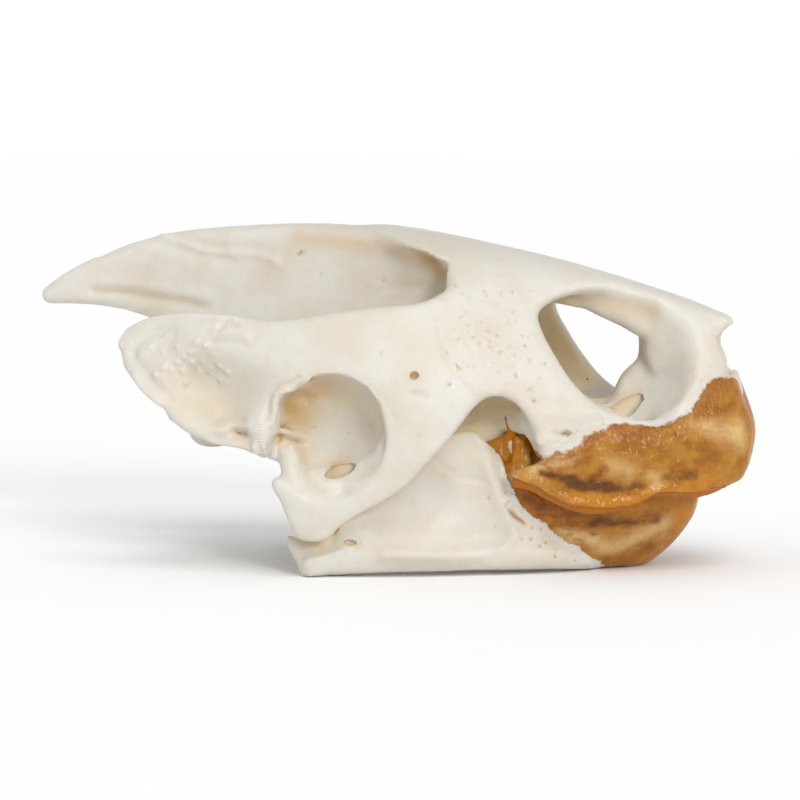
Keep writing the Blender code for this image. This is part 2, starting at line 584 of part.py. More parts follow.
def main():
    clear_scene()
    head, jaw = head_form(), jaw_form()
    upper = build_sheath(
        "upper_beak_sheath", head, UPPER_SHEATH_SIDE, RIGHT_RODS["alveolar_edge"], UPPER_LINING_SIDE
    )
    lower = build_sheath("lower_beak_sheath", jaw, LOWER_SHEATH_SIDE, DENTARY_EDGE, LOWER_LINING_SIDE)
    pieces = {
        "cranium": build_cranium(head, bed_under(upper, FINENESS["upper_beak_sheath"][0])),
        "mandible": build_mandible(jaw, bed_under(lower, FINENESS["lower_beak_sheath"][0])),
        "upper_beak_sheath": finish(upper, *FINENESS["upper_beak_sheath"]),
        "lower_beak_sheath": finish(lower, *FINENESS["lower_beak_sheath"], floor=True),
    }
    for guide in (head, jaw):
        bpy.data.objects.remove(guide, do_unlink=True)
    bone = material("bleached_bone", (0.83, 0.78, 0.68), 0.5)
    horn = material("beak_horn", (0.55, 0.28, 0.07), 0.28)
    for name, piece in pieces.items():
        piece.name = name
        piece.data.materials.clear()
        piece.data.materials.append(horn if "sheath" in name else bone)
        piece.data.shade_smooth()


main()
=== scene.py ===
# %% [markdown]
# A pond turtle's skull, dry and cleaned, rests on its closed lower jaw. Bone is a warm, satin white;
# the beak keeps its horn, which is amber and glossy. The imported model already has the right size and
# main forms, so this script dresses it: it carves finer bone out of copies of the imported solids,
# lays horn on the jaws, and lights the result like a small thing photographed on white paper.

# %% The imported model
import math

import bmesh
import bpy
import numpy as np
import random
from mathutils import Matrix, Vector
from mathutils.bvhtree import BVHTree


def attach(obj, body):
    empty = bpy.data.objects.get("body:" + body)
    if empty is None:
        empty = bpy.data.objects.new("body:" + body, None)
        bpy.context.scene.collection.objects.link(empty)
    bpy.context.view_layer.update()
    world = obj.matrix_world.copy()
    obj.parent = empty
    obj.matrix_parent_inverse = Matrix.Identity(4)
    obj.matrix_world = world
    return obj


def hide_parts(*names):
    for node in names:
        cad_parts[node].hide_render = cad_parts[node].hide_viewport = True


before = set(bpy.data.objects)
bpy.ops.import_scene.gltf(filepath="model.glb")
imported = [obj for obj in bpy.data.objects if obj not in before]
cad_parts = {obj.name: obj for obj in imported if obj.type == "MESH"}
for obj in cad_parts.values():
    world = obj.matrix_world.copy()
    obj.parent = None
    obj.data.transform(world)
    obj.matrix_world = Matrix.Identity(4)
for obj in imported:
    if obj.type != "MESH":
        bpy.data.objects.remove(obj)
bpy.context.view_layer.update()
MM = 0.001
print("packed nodes:", sorted(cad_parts))

# %% [markdown]
# The camera comes first, because every later choice is judged through it. The picture was taken
# with a long lens from a little in front of the skull's right side and a little above the table.
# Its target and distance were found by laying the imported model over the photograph.

# %% The camera
CAMERA_AZIMUTH = math.radians(8)
CAMERA_HEIGHT = math.radians(5)
CAMERA_DISTANCE = 0.420
PICTURE_PIXELS = 800
PIXELS_IN_A_METRE = 8930
PICTURE_WIDTH = PICTURE_PIXELS / PIXELS_IN_A_METRE
SENSOR = 36.0
AIM_ALONG, AIM_ABOVE = 0.0005, 0.0179
SKULL_MIDDLE = Vector((0, 0, 0.018))

back = Vector((
    math.sin(CAMERA_AZIMUTH) * math.cos(CAMERA_HEIGHT),
    -math.cos(CAMERA_AZIMUTH) * math.cos(CAMERA_HEIGHT),
    math.sin(CAMERA_HEIGHT),
))
right = Vector((math.cos(CAMERA_AZIMUTH), math.sin(CAMERA_AZIMUTH), 0))
above = back.cross(right)
target = right * AIM_ALONG + above * AIM_ABOVE
target += back * (SKULL_MIDDLE - target).dot(back)

bpy.ops.object.select_all(action="DESELECT")
bpy.ops.object.camera_add(location=target + back * CAMERA_DISTANCE)
camera = bpy.context.object
camera.rotation_mode = "QUATERNION"
camera.rotation_quaternion = (-back).to_track_quat("-Z", "Y")
camera.data.sensor_width = SENSOR
camera.data.lens = SENSOR * CAMERA_DISTANCE / PICTURE_WIDTH
camera.data.clip_start = 0.01
bpy.context.scene.camera = camera
print("lens:", round(camera.data.lens, 1), "mm")

# %% [markdown]
# Small helpers for the carving. Each one wraps a thing that would be done by hand in Blender:
# pick one object, add a modifier and apply it, read or set the places of all points at once.
# Points are handled in millimetres, because a skull's details are thought of in millimetres.

# %% Picking and applying
def pick(piece):
    bpy.ops.object.select_all(action="DESELECT")
    piece.select_set(True)
    bpy.context.view_layer.objects.active = piece


def apply_modifier(piece, kind, **settings):
    pick(piece)
    step = piece.modifiers.new(kind.lower(), kind)
    for name, value in settings.items():
        setattr(step, name, value)
    bpy.ops.object.modifier_apply(modifier=step.name)


def points_of(piece):
    flat = np.empty(len(piece.data.vertices) * 3, np.float32)
    piece.data.vertices.foreach_get("co", flat)
    return flat.reshape(-1, 3).astype(float) / MM


def place_points(piece, points):
    piece.data.vertices.foreach_set("co", (points * MM).astype(np.float32).ravel())
    piece.data.update()


def normals_of(piece):
    flat = np.empty(len(piece.data.vertices) * 3, np.float32)
    piece.data.vertices.foreach_get("normal", flat)
    return flat.reshape(-1, 3).astype(float)


def edges_of(piece):
    flat = np.empty(len(piece.data.edges) * 2, np.int32)
    piece.data.edges.foreach_get("vertices", flat)
    return flat.reshape(-1, 2)


def triangles_in(piece):
    piece.data.calc_loop_triangles()
    return len(piece.data.loop_triangles)


def ease(values, low, high):
    share = np.clip((values - low) / (high - low), 0, 1)
    return share * share * (3 - 2 * share)


# %% [markdown]
# Forms and marks were read off the photograph as pixels of its 800 wide frame. A pixel alone is a
# line of sight, so each one needs a depth: either a given distance from the skull's middle plane,
# or the place where the line meets the bone, which is how a mark ends up on the surface.

# %% From a pixel to a place on the skull
HALF_PICTURE = PICTURE_PIXELS / 2
FARTHEST_TWIN = 2.5


def line_of_sight(across, down):
    seen = target + right * ((across - HALF_PICTURE) / PICTURE_PIXELS * PICTURE_WIDTH)
    seen += above * ((HALF_PICTURE - down) / PICTURE_PIXELS * PICTURE_WIDTH)
    return (seen - camera.location).normalized()


def at(across, down, y):
    line = line_of_sight(across, down)
    return (camera.location + line * ((y * MM - camera.location.y) / line.y)) / MM


def skin_of(*pieces):
    solid = bmesh.new()
    for piece in pieces:
        solid.from_mesh(piece.data)
    skin = BVHTree.FromBMesh(solid)
    solid.free()
    return skin


def seen_on(skin, pixels):
    path = []
    for across, down in pixels:
        place, normal, _, _ = skin.ray_cast(camera.location, line_of_sight(across, down))
        if place is not None:
            path.append((np.array(place) / MM, np.array(normal)))
    return path


def border_on(skin, pixels):
    return [(place, np.array(back)) for place, _ in seen_on(skin, pixels)]


def across_the_middle(skin, path):
    twins = []
    for place, _ in path:
        near, normal, _, gap = skin.find_nearest(Vector(place * (1, -1, 1)) * MM)
        if gap < FARTHEST_TWIN * MM:
            twins.append((np.array(near) / MM, np.array(normal)))
    return twins


def both_paths(skin, pixels):
    path = seen_on(skin, pixels)
    return [side for side in (path, across_the_middle(skin, path)) if side]


def on_the_right(points):
    folded = points.copy()
    folded[:, 1] = -np.abs(folded[:, 1])
    return folded


print("the middle of the picture is at", [round(v, 1) for v in at(HALF_PICTURE, HALF_PICTURE, 0)], "mm")

# %% [markdown]
# Bone and horn are grown, with no edge that was ever turned or planed, so no primitive leads to
# them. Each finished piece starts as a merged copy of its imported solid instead, and subdivision
# rounds its facets. Lumps and rods of clay are pressed on, as a sculptor would, and a voxel remesh
# melts them into one even skin. Hollows are then cut with balls and rods, and remeshed as well.

# %% Copies, clay and cutters
SAME_PLACE = 1e-6


def edit_whole(shape, *steps):
    pick(shape)
    bpy.ops.object.mode_set(mode="EDIT")
    bpy.ops.mesh.select_all(action="SELECT")
    for step in steps:
        step()
    bpy.ops.object.mode_set(mode="OBJECT")


def merge_points():
    bpy.ops.mesh.remove_doubles(threshold=SAME_PLACE)


def face_outwards():
    bpy.ops.mesh.normals_make_consistent(inside=False)


def copy_to_carve(node, name):
    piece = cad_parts[node].copy()
    piece.data = piece.data.copy()
    piece.name = piece.data.name = name
    piece.parent = None
    bpy.context.scene.collection.objects.link(piece)
    edit_whole(piece, merge_points)
    for key in list(piece.keys()):
        del piece[key]
    apply_modifier(piece, "SUBSURF", levels=2, render_levels=2)
    return piece


def ball(place, radii, turn=(0, 0, 0)):
    bpy.ops.object.select_all(action="DESELECT")
    bpy.ops.mesh.primitive_uv_sphere_add(
        segments=40, ring_count=20, radius=MM, location=Vector(place) * MM)
    lump = bpy.context.object
    lump.scale = radii
    lump.rotation_euler = [math.radians(v) for v in turn]
    bpy.ops.object.transform_apply(location=True, rotation=True, scale=True)
    return lump


def rod(path):
    bpy.ops.object.select_all(action="DESELECT")
    bpy.ops.curve.primitive_nurbs_path_add()
    strand = bpy.context.object
    strand.data.splines.clear()
    line = strand.data.splines.new("NURBS")
    line.points.add(len(path) - 1)
    for point, (place, radius) in zip(line.points, path):
        point.co = (*(Vector(place) * MM), 1)
        point.radius = radius
    line.order_u = min(4, len(path))
    line.use_endpoint_u = True
    strand.data.dimensions = "3D"
    strand.data.bevel_depth = MM
    strand.data.bevel_resolution = 5
    strand.data.use_fill_caps = True
    bpy.ops.object.convert(target="MESH")
    edit_whole(bpy.context.object, merge_points, face_outwards)
    return bpy.context.object


def other_side(shape):
    pick(shape)
    bpy.ops.object.duplicate()
    twin = bpy.context.object
    twin.scale.y = -1
    bpy.ops.object.transform_apply(location=False, rotation=False, scale=True)
    edit_whole(twin, face_outwards)
    return twin


def both_sides(shapes):
    return shapes + [other_side(shape) for shape in shapes]


def join_to(piece, shapes):
    pick(piece)
    for shape in shapes:
        shape.select_set(True)
    bpy.ops.object.join()


def even_skin(piece, voxel, turns):
    apply_modifier(piece, "REMESH", mode="VOXEL", voxel_size=voxel * MM)
    apply_modifier(piece, "SMOOTH", factor=0.5, iterations=turns)


def settle(piece, share, turns):
    edges = edges_of(piece)
    first, second = edges[(share[edges] > 0).any(1)].T
    ends, others = np.r_[first, second], np.r_[second, first]
    moving = share > 0
    points = points_of(piece)
    count = np.maximum(np.bincount(ends, minlength=len(points)), 1)[:, None]
    for _ in range(turns):
        sums = [np.bincount(ends, points[others, axis], len(points)) for axis in range(3)]
        middle = np.stack(sums, 1) / count
        points[moving] += (middle - points)[moving] * (0.5 * share[moving])[:, None]
    place_points(piece, points)


def soften(piece, place, reach, turns):
    gap = np.linalg.norm(on_the_right(points_of(piece)) - place, axis=1)
    settle(piece, ease(gap, reach, reach / 2), turns)


def prism(outline, near, far):
    bpy.ops.object.select_all(action="DESELECT")
    bpy.ops.mesh.primitive_circle_add(vertices=len(outline), fill_type="NGON")
    shape = bpy.context.object
    place_points(shape, np.array([at(across, down, near) for across, down in outline]))
    path = (Vector(at(*outline[0], far)) - Vector(at(*outline[0], near))) * MM
    edit_whole(shape, lambda: bpy.ops.mesh.extrude_region_move(TRANSFORM_OT_translate={"value": path}))
    edit_whole(shape, face_outwards)
    return shape


def cut_from(piece, cutters, voxel=None):
    cutters = both_sides(cutters)
    join_to(cutters[0], cutters[1:])
    if voxel:
        even_skin(cutters[0], voxel, 0)
    apply_modifier(piece, "BOOLEAN", operation="DIFFERENCE", solver="MANIFOLD", object=cutters[0])
    bpy.data.objects.remove(cutters[0])


def shape_bone(piece, voxel, clay, cutters):
    if clay:
        join_to(piece, both_sides(clay))
    even_skin(piece, voxel, 2)
    if cutters:
        cut_from(piece, cutters, voxel)
        even_skin(piece, voxel, 3)
    print(piece.name, "has", triangles_in(piece), "triangles after shaping")


# %% [markdown]
# The braincase with its crest, cheeks and ear hollows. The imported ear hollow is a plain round
# well. The real one is a bowl with a sharp upper rim and a soft lower one, a deep pocket at the
# upper rear, and the thin ear bone crossing it, so clay fills the well and a new bowl is cut.
# More clay thickens the crest's tip, the inner walls of the eye socket, the tip of the snout and
# the edge of the bar behind the socket. Prisms trim the rear bone's lower edge, the temple's front
# corner and a lump below the ear.

# %% Clay and cutters for the cranium
CRANIUM_VOXEL = 0.25
cranium = copy_to_carve("cranium", "cranium_bone")
join_to(cranium, [copy_to_carve("upper_beak_sheath", "melted_upper_sheath")])
ear_filling = [
    ball(at(334, 440, -14.8), (6.0, 4.4, 7.8)),
    ball(at(362, 460, -16.0), (3.3, 3.4, 5.4)),
    ball(at(322, 486, -15.8), (4.4, 3.3, 3.3)),
    ball(at(264, 452, -18.7), (0.85, 0.6, 0.75)),
    ball(at(256, 449, -18.7), (0.6, 0.6, 0.6)),
    ball(at(293, 402, -14.6), (3.4, 3.6, 3.6)),
    rod([(at(268, 436, -18.5), 1.0), (at(271, 420, -18.8), 1.15), (at(275, 402, -18.7), 1.2),
         (at(284, 389, -18.8), 1.2), (at(299, 378, -18.8), 1.2), (at(316, 370, -18.7), 1.1),
         (at(335, 368, -18.6), 0.9)]),
]
ear_bowl = [
    ball(at(331, 424, -19.4), (5.6, 6.6, 5.4)),
    ball(at(332, 448, -24.4), (6.4, 8.3, 6.2)),
    ball(at(299, 407, -19.8), (2.25, 6.2, 2.0)),
    rod([(at(268, 438, -20.4), 0.35), (at(283, 436, -17.4), 0.5), (at(298, 441, -15.4), 0.5)]),
    rod([(at(299, 436, -14.8), 0.5), (at(303, 452, -16.0), 0.7), (at(306, 472, -19.0), 0.5)]),
    rod([(at(278, 427, -18.2), 0.25), (at(284, 426.5, -16.8), 0.4), (at(292, 428.5, -15.0), 0.3)]),
]
temple_roof = [
    ball(at(421, 269, -10.2), (3.4, 3.6, 1.8), (0, 24, 0)),
    rod([(at(352, 244, -4.0), 0.4), (at(380, 249, -6.0), 0.7), (at(400, 254, -8.0), 1.1),
         (at(420, 262, -10.0), 1.4)]),
]
crest_tip = [
    rod([(at(118, 297, 0), 1.0), (at(98, 295, 0), 1.15), (at(78, 293.5, 0), 1.2),
         (at(62, 293.5, 0), 1.15), (at(53, 295, 0), 1.05), (at(47, 295, 0), 1.0), (at(43, 295.5, 0), 0.7)]),
    ball(at(56, 290, 0), (1.5, 0.9, 1.05), (0, -35, 0)),
]
orbit_filling = [
    ball(at(664, 347, -1.7), (2.3, 1.9, 4.2)),
    rod([(at(578, 300, -3.4), 0.6), (at(603, 306, -3.0), 1.3), (at(623, 312, -2.6), 1.5),
         (at(642, 322, -2.2), 1.6), (at(660, 336, -1.6), 1.4)]),
]
snout_tip = [ball(at(719, 317.5, 0), (1.85, 3.3, 0.62), (0, 20, 0))]
bar_edge = [rod([(at(519, 412, -12.6), 0.5), (at(530, 430, -12.9), 0.6), (at(536.5, 446, -12.9), 0.65),
                 (at(538, 460, -12.9), 0.55)])]
trimmed = [
    prism([(110, 338), (118, 359), (130, 376), (143, 393), (155, 403), (166, 410), (170, 421), (150, 445),
           (95, 445), (90, 345)], -23, -7),
    prism([(424, 258), (449, 260.5), (447.5, 271), (441, 280), (424, 276)], -15, -10),
    prism([(256, 463), (270, 459), (281, 462), (283, 476), (268, 480), (258, 480)], -23, -9),
]
cranium_clay = ear_filling + crest_tip + orbit_filling + snout_tip + bar_edge
cranium_cuts = ear_bowl + temple_roof + trimmed
print("the cranium takes", len(cranium_clay), "pieces of clay and", len(cranium_cuts), "cuts")

# %% Cranium
SOCKET_FRONT, SOCKET_ROOF = (32.6, -4.7, 26.0), (26.5, -4.0, 29.5)


def upper_flap():
    return [ball(at(523, 465, -12.2), (1.2, 0.45, 1.0), (0, 35, 0))]


shape_bone(cranium, CRANIUM_VOXEL, cranium_clay, cranium_cuts)
ear_bones = [
    rod([(at(283, 443, -16.4), 0.6), (at(286, 452, -17.2), 0.95), (at(290, 468, -17.8), 1.0),
         (at(296, 492, -18.4), 1.3)]),
    rod([(at(274, 430, -18.6), 0.25), (at(286, 431, -17.2), 0.34), (at(296, 434, -15.8), 0.5),
         (at(305, 439, -14.2), 0.95)]),
]
shape_bone(cranium, CRANIUM_VOXEL, ear_bones + upper_flap(), [])
soften(cranium, SOCKET_FRONT, 5.4, 200)
soften(cranium, SOCKET_ROOF, 3.6, 60)

# %% [markdown]
# The lower jaw. Its outer side is a wide dish for the jaw muscle, between a rim along the front and
# a rounded keel along the bottom. Behind the beak a thin, clear sheet of its horn stands up between
# the jaws and ends in a spike. A prism first trims the jaw's rim there. Two thin plates and a
# tapering rod are then pressed on for the sheet and its spike, and one long rod fills the groove
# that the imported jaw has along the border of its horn.

# %% Mandible
MANDIBLE_VOXEL = 0.2
SHEET_DEPTHS = -10.9, -9.6
BORDER_UNDER_THE_CHIN = (23.2, -3.0, 0.1), (22.6, 0.0, 0.0)
mandible = copy_to_carve("mandible", "mandible_bone")
join_to(mandible, [copy_to_carve("lower_beak_sheath", "melted_lower_sheath")])
lower_border = border_on(skin_of(mandible), [
    (493, 449), (500, 456), (504, 466), (507, 479), (513, 490), (517, 499), (523, 508), (533, 517),
    (542, 521), (549, 528), (556, 534), (560, 537), (565, 541), (569, 544), (579, 545), (582, 551),
    (591, 557), (600, 561), (604, 566)])
under = np.array((0.0, 0.0, -1.0))
lower_border += [(np.array(place), under) for place in BORDER_UNDER_THE_CHIN]
groove_filling = rod([(place - facing * 0.5, 0.58) for place, facing in lower_border[3:-1]])
joint_filling = [ball(at(330, 539, -14.2), (1.8, 1.2, 1.1)), ball(at(345, 528, -13.6), (2.0, 1.0, 1.0))]


def rear_sheet():
    return [
        prism([(482, 443), (499, 436), (512, 432), (517, 438), (524, 482), (508, 474)], *SHEET_DEPTHS),
        prism([(512, 438), (541, 438), (541, 470), (524, 482), (512, 470)], *SHEET_DEPTHS),
        rod([(at(506, 415.5, -10.2), 0.3), (at(510, 425, -10.3), 0.45), (at(514, 437, -10.5), 0.6),
             (at(518, 449, -10.8), 0.75), (at(520, 460, -11.0), 0.8)]),
    ]


rim_trimmed = [prism([
    (476, 422), (476, 434), (486, 443.5), (493, 450), (499, 457), (503, 465), (512, 465), (514, 422),
], -15, -6)]
shape_bone(mandible, MANDIBLE_VOXEL, joint_filling, rim_trimmed)
shape_bone(mandible, MANDIBLE_VOXEL, rear_sheet() + [groove_filling], [])

# %% [markdown]
# The border between horn and bone was read off the photograph as a line, and so was the layered
# lower edge. Every point's distance to such a line, with a sign for its side, tells which finish it
# takes and where the horn steps in.

# %% Distance to a border line
FAR_AWAY = 99.0
SHORTEST_SPAN = 1e-9
SAME_GAP = 1e-6


def gap_to_line(points, line):
    folded = on_the_right(points)
    places = np.array([place for place, _ in line])
    nearest = np.full(len(points), FAR_AWAY)
    offsets, sides = np.zeros((len(points), 3)), np.zeros((len(points), 3))
    for (start, facing), end in zip(line[:-1], places[1:]):
        span = end - start
        share = np.clip((folded - start) @ span / max(span @ span, SHORTEST_SPAN), 0, 1)
        offset = folded - start - share[:, None] * span
        gap = np.linalg.norm(offset, axis=1)
        side = np.cross(span, facing)
        side /= np.linalg.norm(side)
        sides[np.abs(gap - nearest) < SAME_GAP] += side
        closer = gap < nearest - SAME_GAP
        nearest[closer], offsets[closer], sides[closer] = gap[closer], offset[closer], side
    return nearest * np.sign((offsets * sides).sum(1))


# %% Borders of the horn
front = np.array((0.9, -0.4, 0.0))
upper_skin = skin_of(cranium)
upper_border = border_on(upper_skin, [
    (531, 447), (532, 455), (536, 460), (543, 457), (550, 454), (558, 451), (568, 451), (575, 447),
    (583, 444), (584, 438), (594, 431), (604, 430), (613, 423), (627, 424), (645, 426), (658, 427),
    (676, 419), (690, 412), (695, 403), (704, 390), (710, 381), (718, 378), (726, 377)])
upper_border += [(np.array(at(*spot)), front) for spot in (
    (733, 378, -2.4), (744, 392, -1.5), (751, 408, -0.8), (755, 424, 0))]
upper_step = border_on(upper_skin, [
    (512, 477), (520, 480), (537, 486), (549, 494), (560, 500), (572, 505), (589, 507), (612, 507),
    (629, 505), (640, 501), (649, 496), (656, 492), (666, 491), (681, 492), (694, 492), (705, 490)])
for name, line in (("upper border", upper_border), ("step", upper_step), ("lower border", lower_border)):
    print(name, "runs from", line[0][0].round(1), "to", line[-1][0].round(1), "mm")
for bone, line, sign in ((cranium, upper_border, 1), (mandible, lower_border, -1)):
    inside = sign * gap_to_line(points_of(bone), line)
    settle(bone, ease(inside, -1.2, -0.3) * ease(inside, 3.2, 1.8), 45)

# %% [markdown]
# The beak's horn thins out on to the bone with no step, so horn and bone are first one skin. The
# horn is then the part of that skin inside a swollen copy of its packed sheath, found with a
# Boolean. The bone sinks a little where horn lies on it, and the horn's rim dips under the bone's
# surface, so the two cross at a flat angle and no seam shows in the picture. Along the upper horn's
# lower edge an older layer of horn lies under a newer one, so the points below a line step inwards.

# %% The two beak sheaths
DEEPEST_LOOK = 1.5
SWELLING = 0.6
SHEATH_VOXEL, HORN_VOXEL = 0.25, 0.14


def how_deep_in(points, skin):
    depth = np.zeros(len(points))
    for index, point in enumerate(points):
        near, facing, _, gap = skin.find_nearest(Vector(point) * MM, DEEPEST_LOOK * MM)
        if near is not None and (Vector(point) * MM - near).dot(facing) < 0:
            depth[index] = gap / MM
    return depth


def lay_horn(bone, node, name, clay):
    swollen = copy_to_carve(node, "swollen_sheath")
    if clay:
        join_to(swollen, both_sides(clay))
    place_points(swollen, points_of(swollen) + normals_of(swollen) * SWELLING)
    even_skin(swollen, SHEATH_VOXEL, 2)
    skin = skin_of(swollen)
    pick(bone)
    bpy.ops.object.duplicate()
    horn = bpy.context.object
    horn.name = horn.data.name = name
    apply_modifier(horn, "BOOLEAN", operation="INTERSECT", solver="MANIFOLD", object=swollen)
    bpy.data.objects.remove(swollen)
    even_skin(horn, HORN_VOXEL, 3)
    for piece, low, high, sink in ((horn, 0.5, 0.05, 0.12), (bone, 0.35, 0.58, 0.3)):
        points = points_of(piece)
        share = ease(how_deep_in(points, skin), low, high)
        place_points(piece, points - normals_of(piece) * (sink * share)[:, None])
    print(horn.name, "has", triangles_in(horn), "triangles and", bone.name, triangles_in(bone))
    return horn, skin


upper_horn, upper_reach = lay_horn(cranium, "upper_beak_sheath", "upper_beak_horn", upper_flap())
lower_horn, lower_reach = lay_horn(mandible, "lower_beak_sheath", "lower_beak_horn", rear_sheet())

# %% The second lip of the upper horn
LIP_FLARE, LIP_DROP, LIP_EDGE = 0.25, 0.5, 0.16
points, outward = points_of(upper_horn), normals_of(upper_horn)
below = gap_to_line(points, upper_step)
outside = (np.abs(below) < 3) & (outward[:, 1] * np.sign(points[:, 1]) > -0.1)
flare = LIP_FLARE * np.exp(-(np.minimum(below, 0) / 0.8) ** 2)
step = np.where(outside, flare - LIP_DROP * ease(below, 0.0, LIP_EDGE), 0)
place_points(upper_horn, points + outward * step[:, None])
print("points set back below the horn's upper layer:", int((step < -0.1).sum()))

# %% [markdown]
# Relief finer than clay is carved like strokes of a sculpting brush. A stroke is a line of pixels
# laid on the bone, a width and a depth in millimetres. Points near it move along their normals,
# most at its middle. Each stroke is repeated on the far side, because a skull grows in pairs.

# %% Strokes of carving
STROKE_REACH = 2.4


def beside(points, normals, path, reach):
    places = np.array([place for place, _ in path])
    inside = (points > places.min(0) - reach) & (points < places.max(0) + reach)
    near = np.flatnonzero(inside.all(1))
    cloud, gaps, aims = points[near], np.full(len(near), FAR_AWAY), np.zeros((len(near), 3))
    for step, (start, facing) in enumerate(path[:-1] or path):
        span = places[min(step + 1, len(places) - 1)] - start
        share = np.clip((cloud - start) @ span / max(span @ span, SHORTEST_SPAN), 0, 1)
        gap = np.linalg.norm(cloud - start - share[:, None] * span, axis=1)
        gap = np.where(normals[near] @ facing > 0.1, gap, FAR_AWAY)
        aims += np.exp(-(gap / (0.6 * reach)) ** 2)[:, None] * facing
        gaps = np.minimum(gaps, gap)
    close = gaps < reach
    aims = aims[close] / np.maximum(np.linalg.norm(aims[close], axis=1), SHORTEST_SPAN)[:, None]
    return near[close], gaps[close], aims


def felt_by(piece, strokes):
    points, normals, skin = points_of(piece), normals_of(piece), skin_of(piece)
    amount, moved = np.zeros(len(points)), np.zeros((len(points), 3))
    for pixels, width, depth in strokes:
        for side in both_paths(skin, pixels):
            near, gaps, aims = beside(points, normals, side, STROKE_REACH * width)
            felt = depth * np.exp(-(gaps / width) ** 2)
            amount[near] += felt
            moved[near] += aims * felt[:, None]
    return amount, moved


def carve(piece, strokes):
    place_points(piece, points_of(piece) + felt_by(piece, strokes)[1])
    print(piece.name, "is carved with", len(strokes), "strokes")


# %% Strokes on the cranium
crest_strokes = [
    ([(162, 236), (185, 244), (205, 251), (224, 253), (251, 253), (267, 256), (277, 263)], 0.5, 0.28),
    ([(175, 236), (200, 244), (225, 249), (252, 249), (268, 252)], 0.6, -0.22),
    ([(101, 256), (132, 245), (155, 240), (170, 245), (193, 252), (216, 256), (230, 259)], 0.7, -0.25),
    ([(94, 290), (126, 291.5), (147, 296), (170, 299), (186, 301), (205, 307)], 0.6, -0.3),
    ([(60, 287), (95, 284), (130, 284), (165, 290), (205, 297)], 0.8, 0.22),
    ([(366, 300), (385, 291), (405, 287), (425, 286)], 0.6, -0.15),
    ([(355, 305), (378, 296), (400, 291)], 0.5, 0.12),
]
squamosal_strokes = [
    ([(164, 356), (188, 368), (210, 382), (228, 396)], 2.7, -1.0),
    ([(190, 392), (212, 404), (234, 414)], 2.0, -0.5),
    ([(121, 345), (130, 330), (152, 320), (195, 316), (235, 319)], 0.45, 0.35),
    ([(122, 356), (134, 376), (147, 393), (160, 403)], 0.4, 0.4),
    ([(132, 350), (140, 340), (152, 333), (172, 331)], 0.6, -0.4),
    ([(131, 354), (142, 370), (156, 388), (168, 397)], 0.6, -0.35),
    ([(219, 330), (222, 325), (228, 322), (236, 324)], 0.3, -0.3),
    ([(211, 341), (222, 340), (231, 342), (244, 343)], 0.3, -0.25),
    ([(214, 333), (224, 332), (236, 332), (247, 336)], 0.4, 0.18),
    ([(214, 421), (222, 416), (230, 415), (242, 422)], 0.5, -0.25),
    ([(233, 432), (242, 433)], 0.5, -1.2),
    ([(216, 440), (230, 437), (246, 440)], 0.7, -0.7),
]
ear_rim = [
    ([(272, 424), (274, 412), (275, 403), (276, 396), (283, 391), (290, 390), (299, 385), (307, 378)],
     0.42, 0.32),
    ([(266, 420), (268, 410), (269, 398), (272, 391), (279, 385), (289, 383.5), (298, 378)], 0.28, -0.28),
    ([(350, 379.5), (370, 387), (382, 398), (391, 410), (395, 425)], 0.4, -0.1),
    ([(250, 424), (262, 428), (268, 436)], 1.2, 0.25),
    ([(254, 446), (257, 453)], 0.35, 0.45),
    ([(263, 446), (266, 453)], 0.35, 0.5),
]
cheek_strokes = [
    ([(440, 334), (448, 356), (455, 369), (471, 383), (484, 392)], 0.6, 0.12),
    ([(434, 334), (442, 357), (450, 372), (466, 386)], 0.7, -0.1),
    ([(540, 402), (552, 404), (571, 405)], 0.5, -0.15),
    ([(534, 430), (548, 428), (560, 426), (576, 427)], 0.8, -0.2),
    ([(412, 395), (423, 395)], 0.4, -0.22),
]
carve(cranium, crest_strokes + squamosal_strokes + cheek_strokes)

# %% Strokes on the jaw
jaw_strokes = [
    ([(440, 500), (455, 520), (462, 538)], 3.6, -0.75),
    ([(480, 500), (486, 522), (488, 538)], 2.6, -0.55),
    ([(385, 555), (426, 556), (472, 555), (503, 549), (515, 536), (507, 513), (499, 499), (492, 480),
      (487, 463)], 0.8, 0.38),
    ([(380, 567), (430, 568), (480, 567)], 0.9, -0.3),
    ([(430, 455), (445, 468), (460, 477), (478, 480), (487, 484)], 0.35, -0.12),
    ([(507, 508), (513, 520), (520, 530)], 0.5, -0.15),
    ([(305, 562), (318, 558), (333, 553), (346, 549)], 0.5, 0.25),
    ([(303, 553), (318, 550), (333, 545)], 0.7, -0.3),
    ([(290, 540), (295, 549), (299, 558)], 0.8, -0.35),
    ([(288, 536), (294, 551), (299, 560)], 0.4, 0.2),
    ([(478, 439), (490, 448), (502, 456), (508, 472), (515, 488), (527, 508)], 0.6, 0.2),
]
carve(mandible, jaw_strokes)

# %% [markdown]
# A piece may hold 200,000 triangles, so the skin is thinned first. A faint clouded relief is put on
# before that: bone has it, and it keeps flat parts from being thinned to a few large triangles.
# The skin is then subdivided again only along the finest marks, where it needs the points.

# %% Thin the skin, then refine it along the marks
uneven = bpy.data.textures.new("uneven_bone", "CLOUDS")
uneven.noise_scale = 0.9 * MM
uneven.noise_depth = 2
REFINED_REACH = 0.6


def thin_out(piece, most, relief):
    apply_modifier(
        piece, "DISPLACE", texture=uneven, texture_coords="LOCAL", strength=relief * MM, mid_level=0.5)
    apply_modifier(piece, "DECIMATE", ratio=min(1.0, most / triangles_in(piece)))
    print(piece.name, "is thinned to", triangles_in(piece), "triangles")


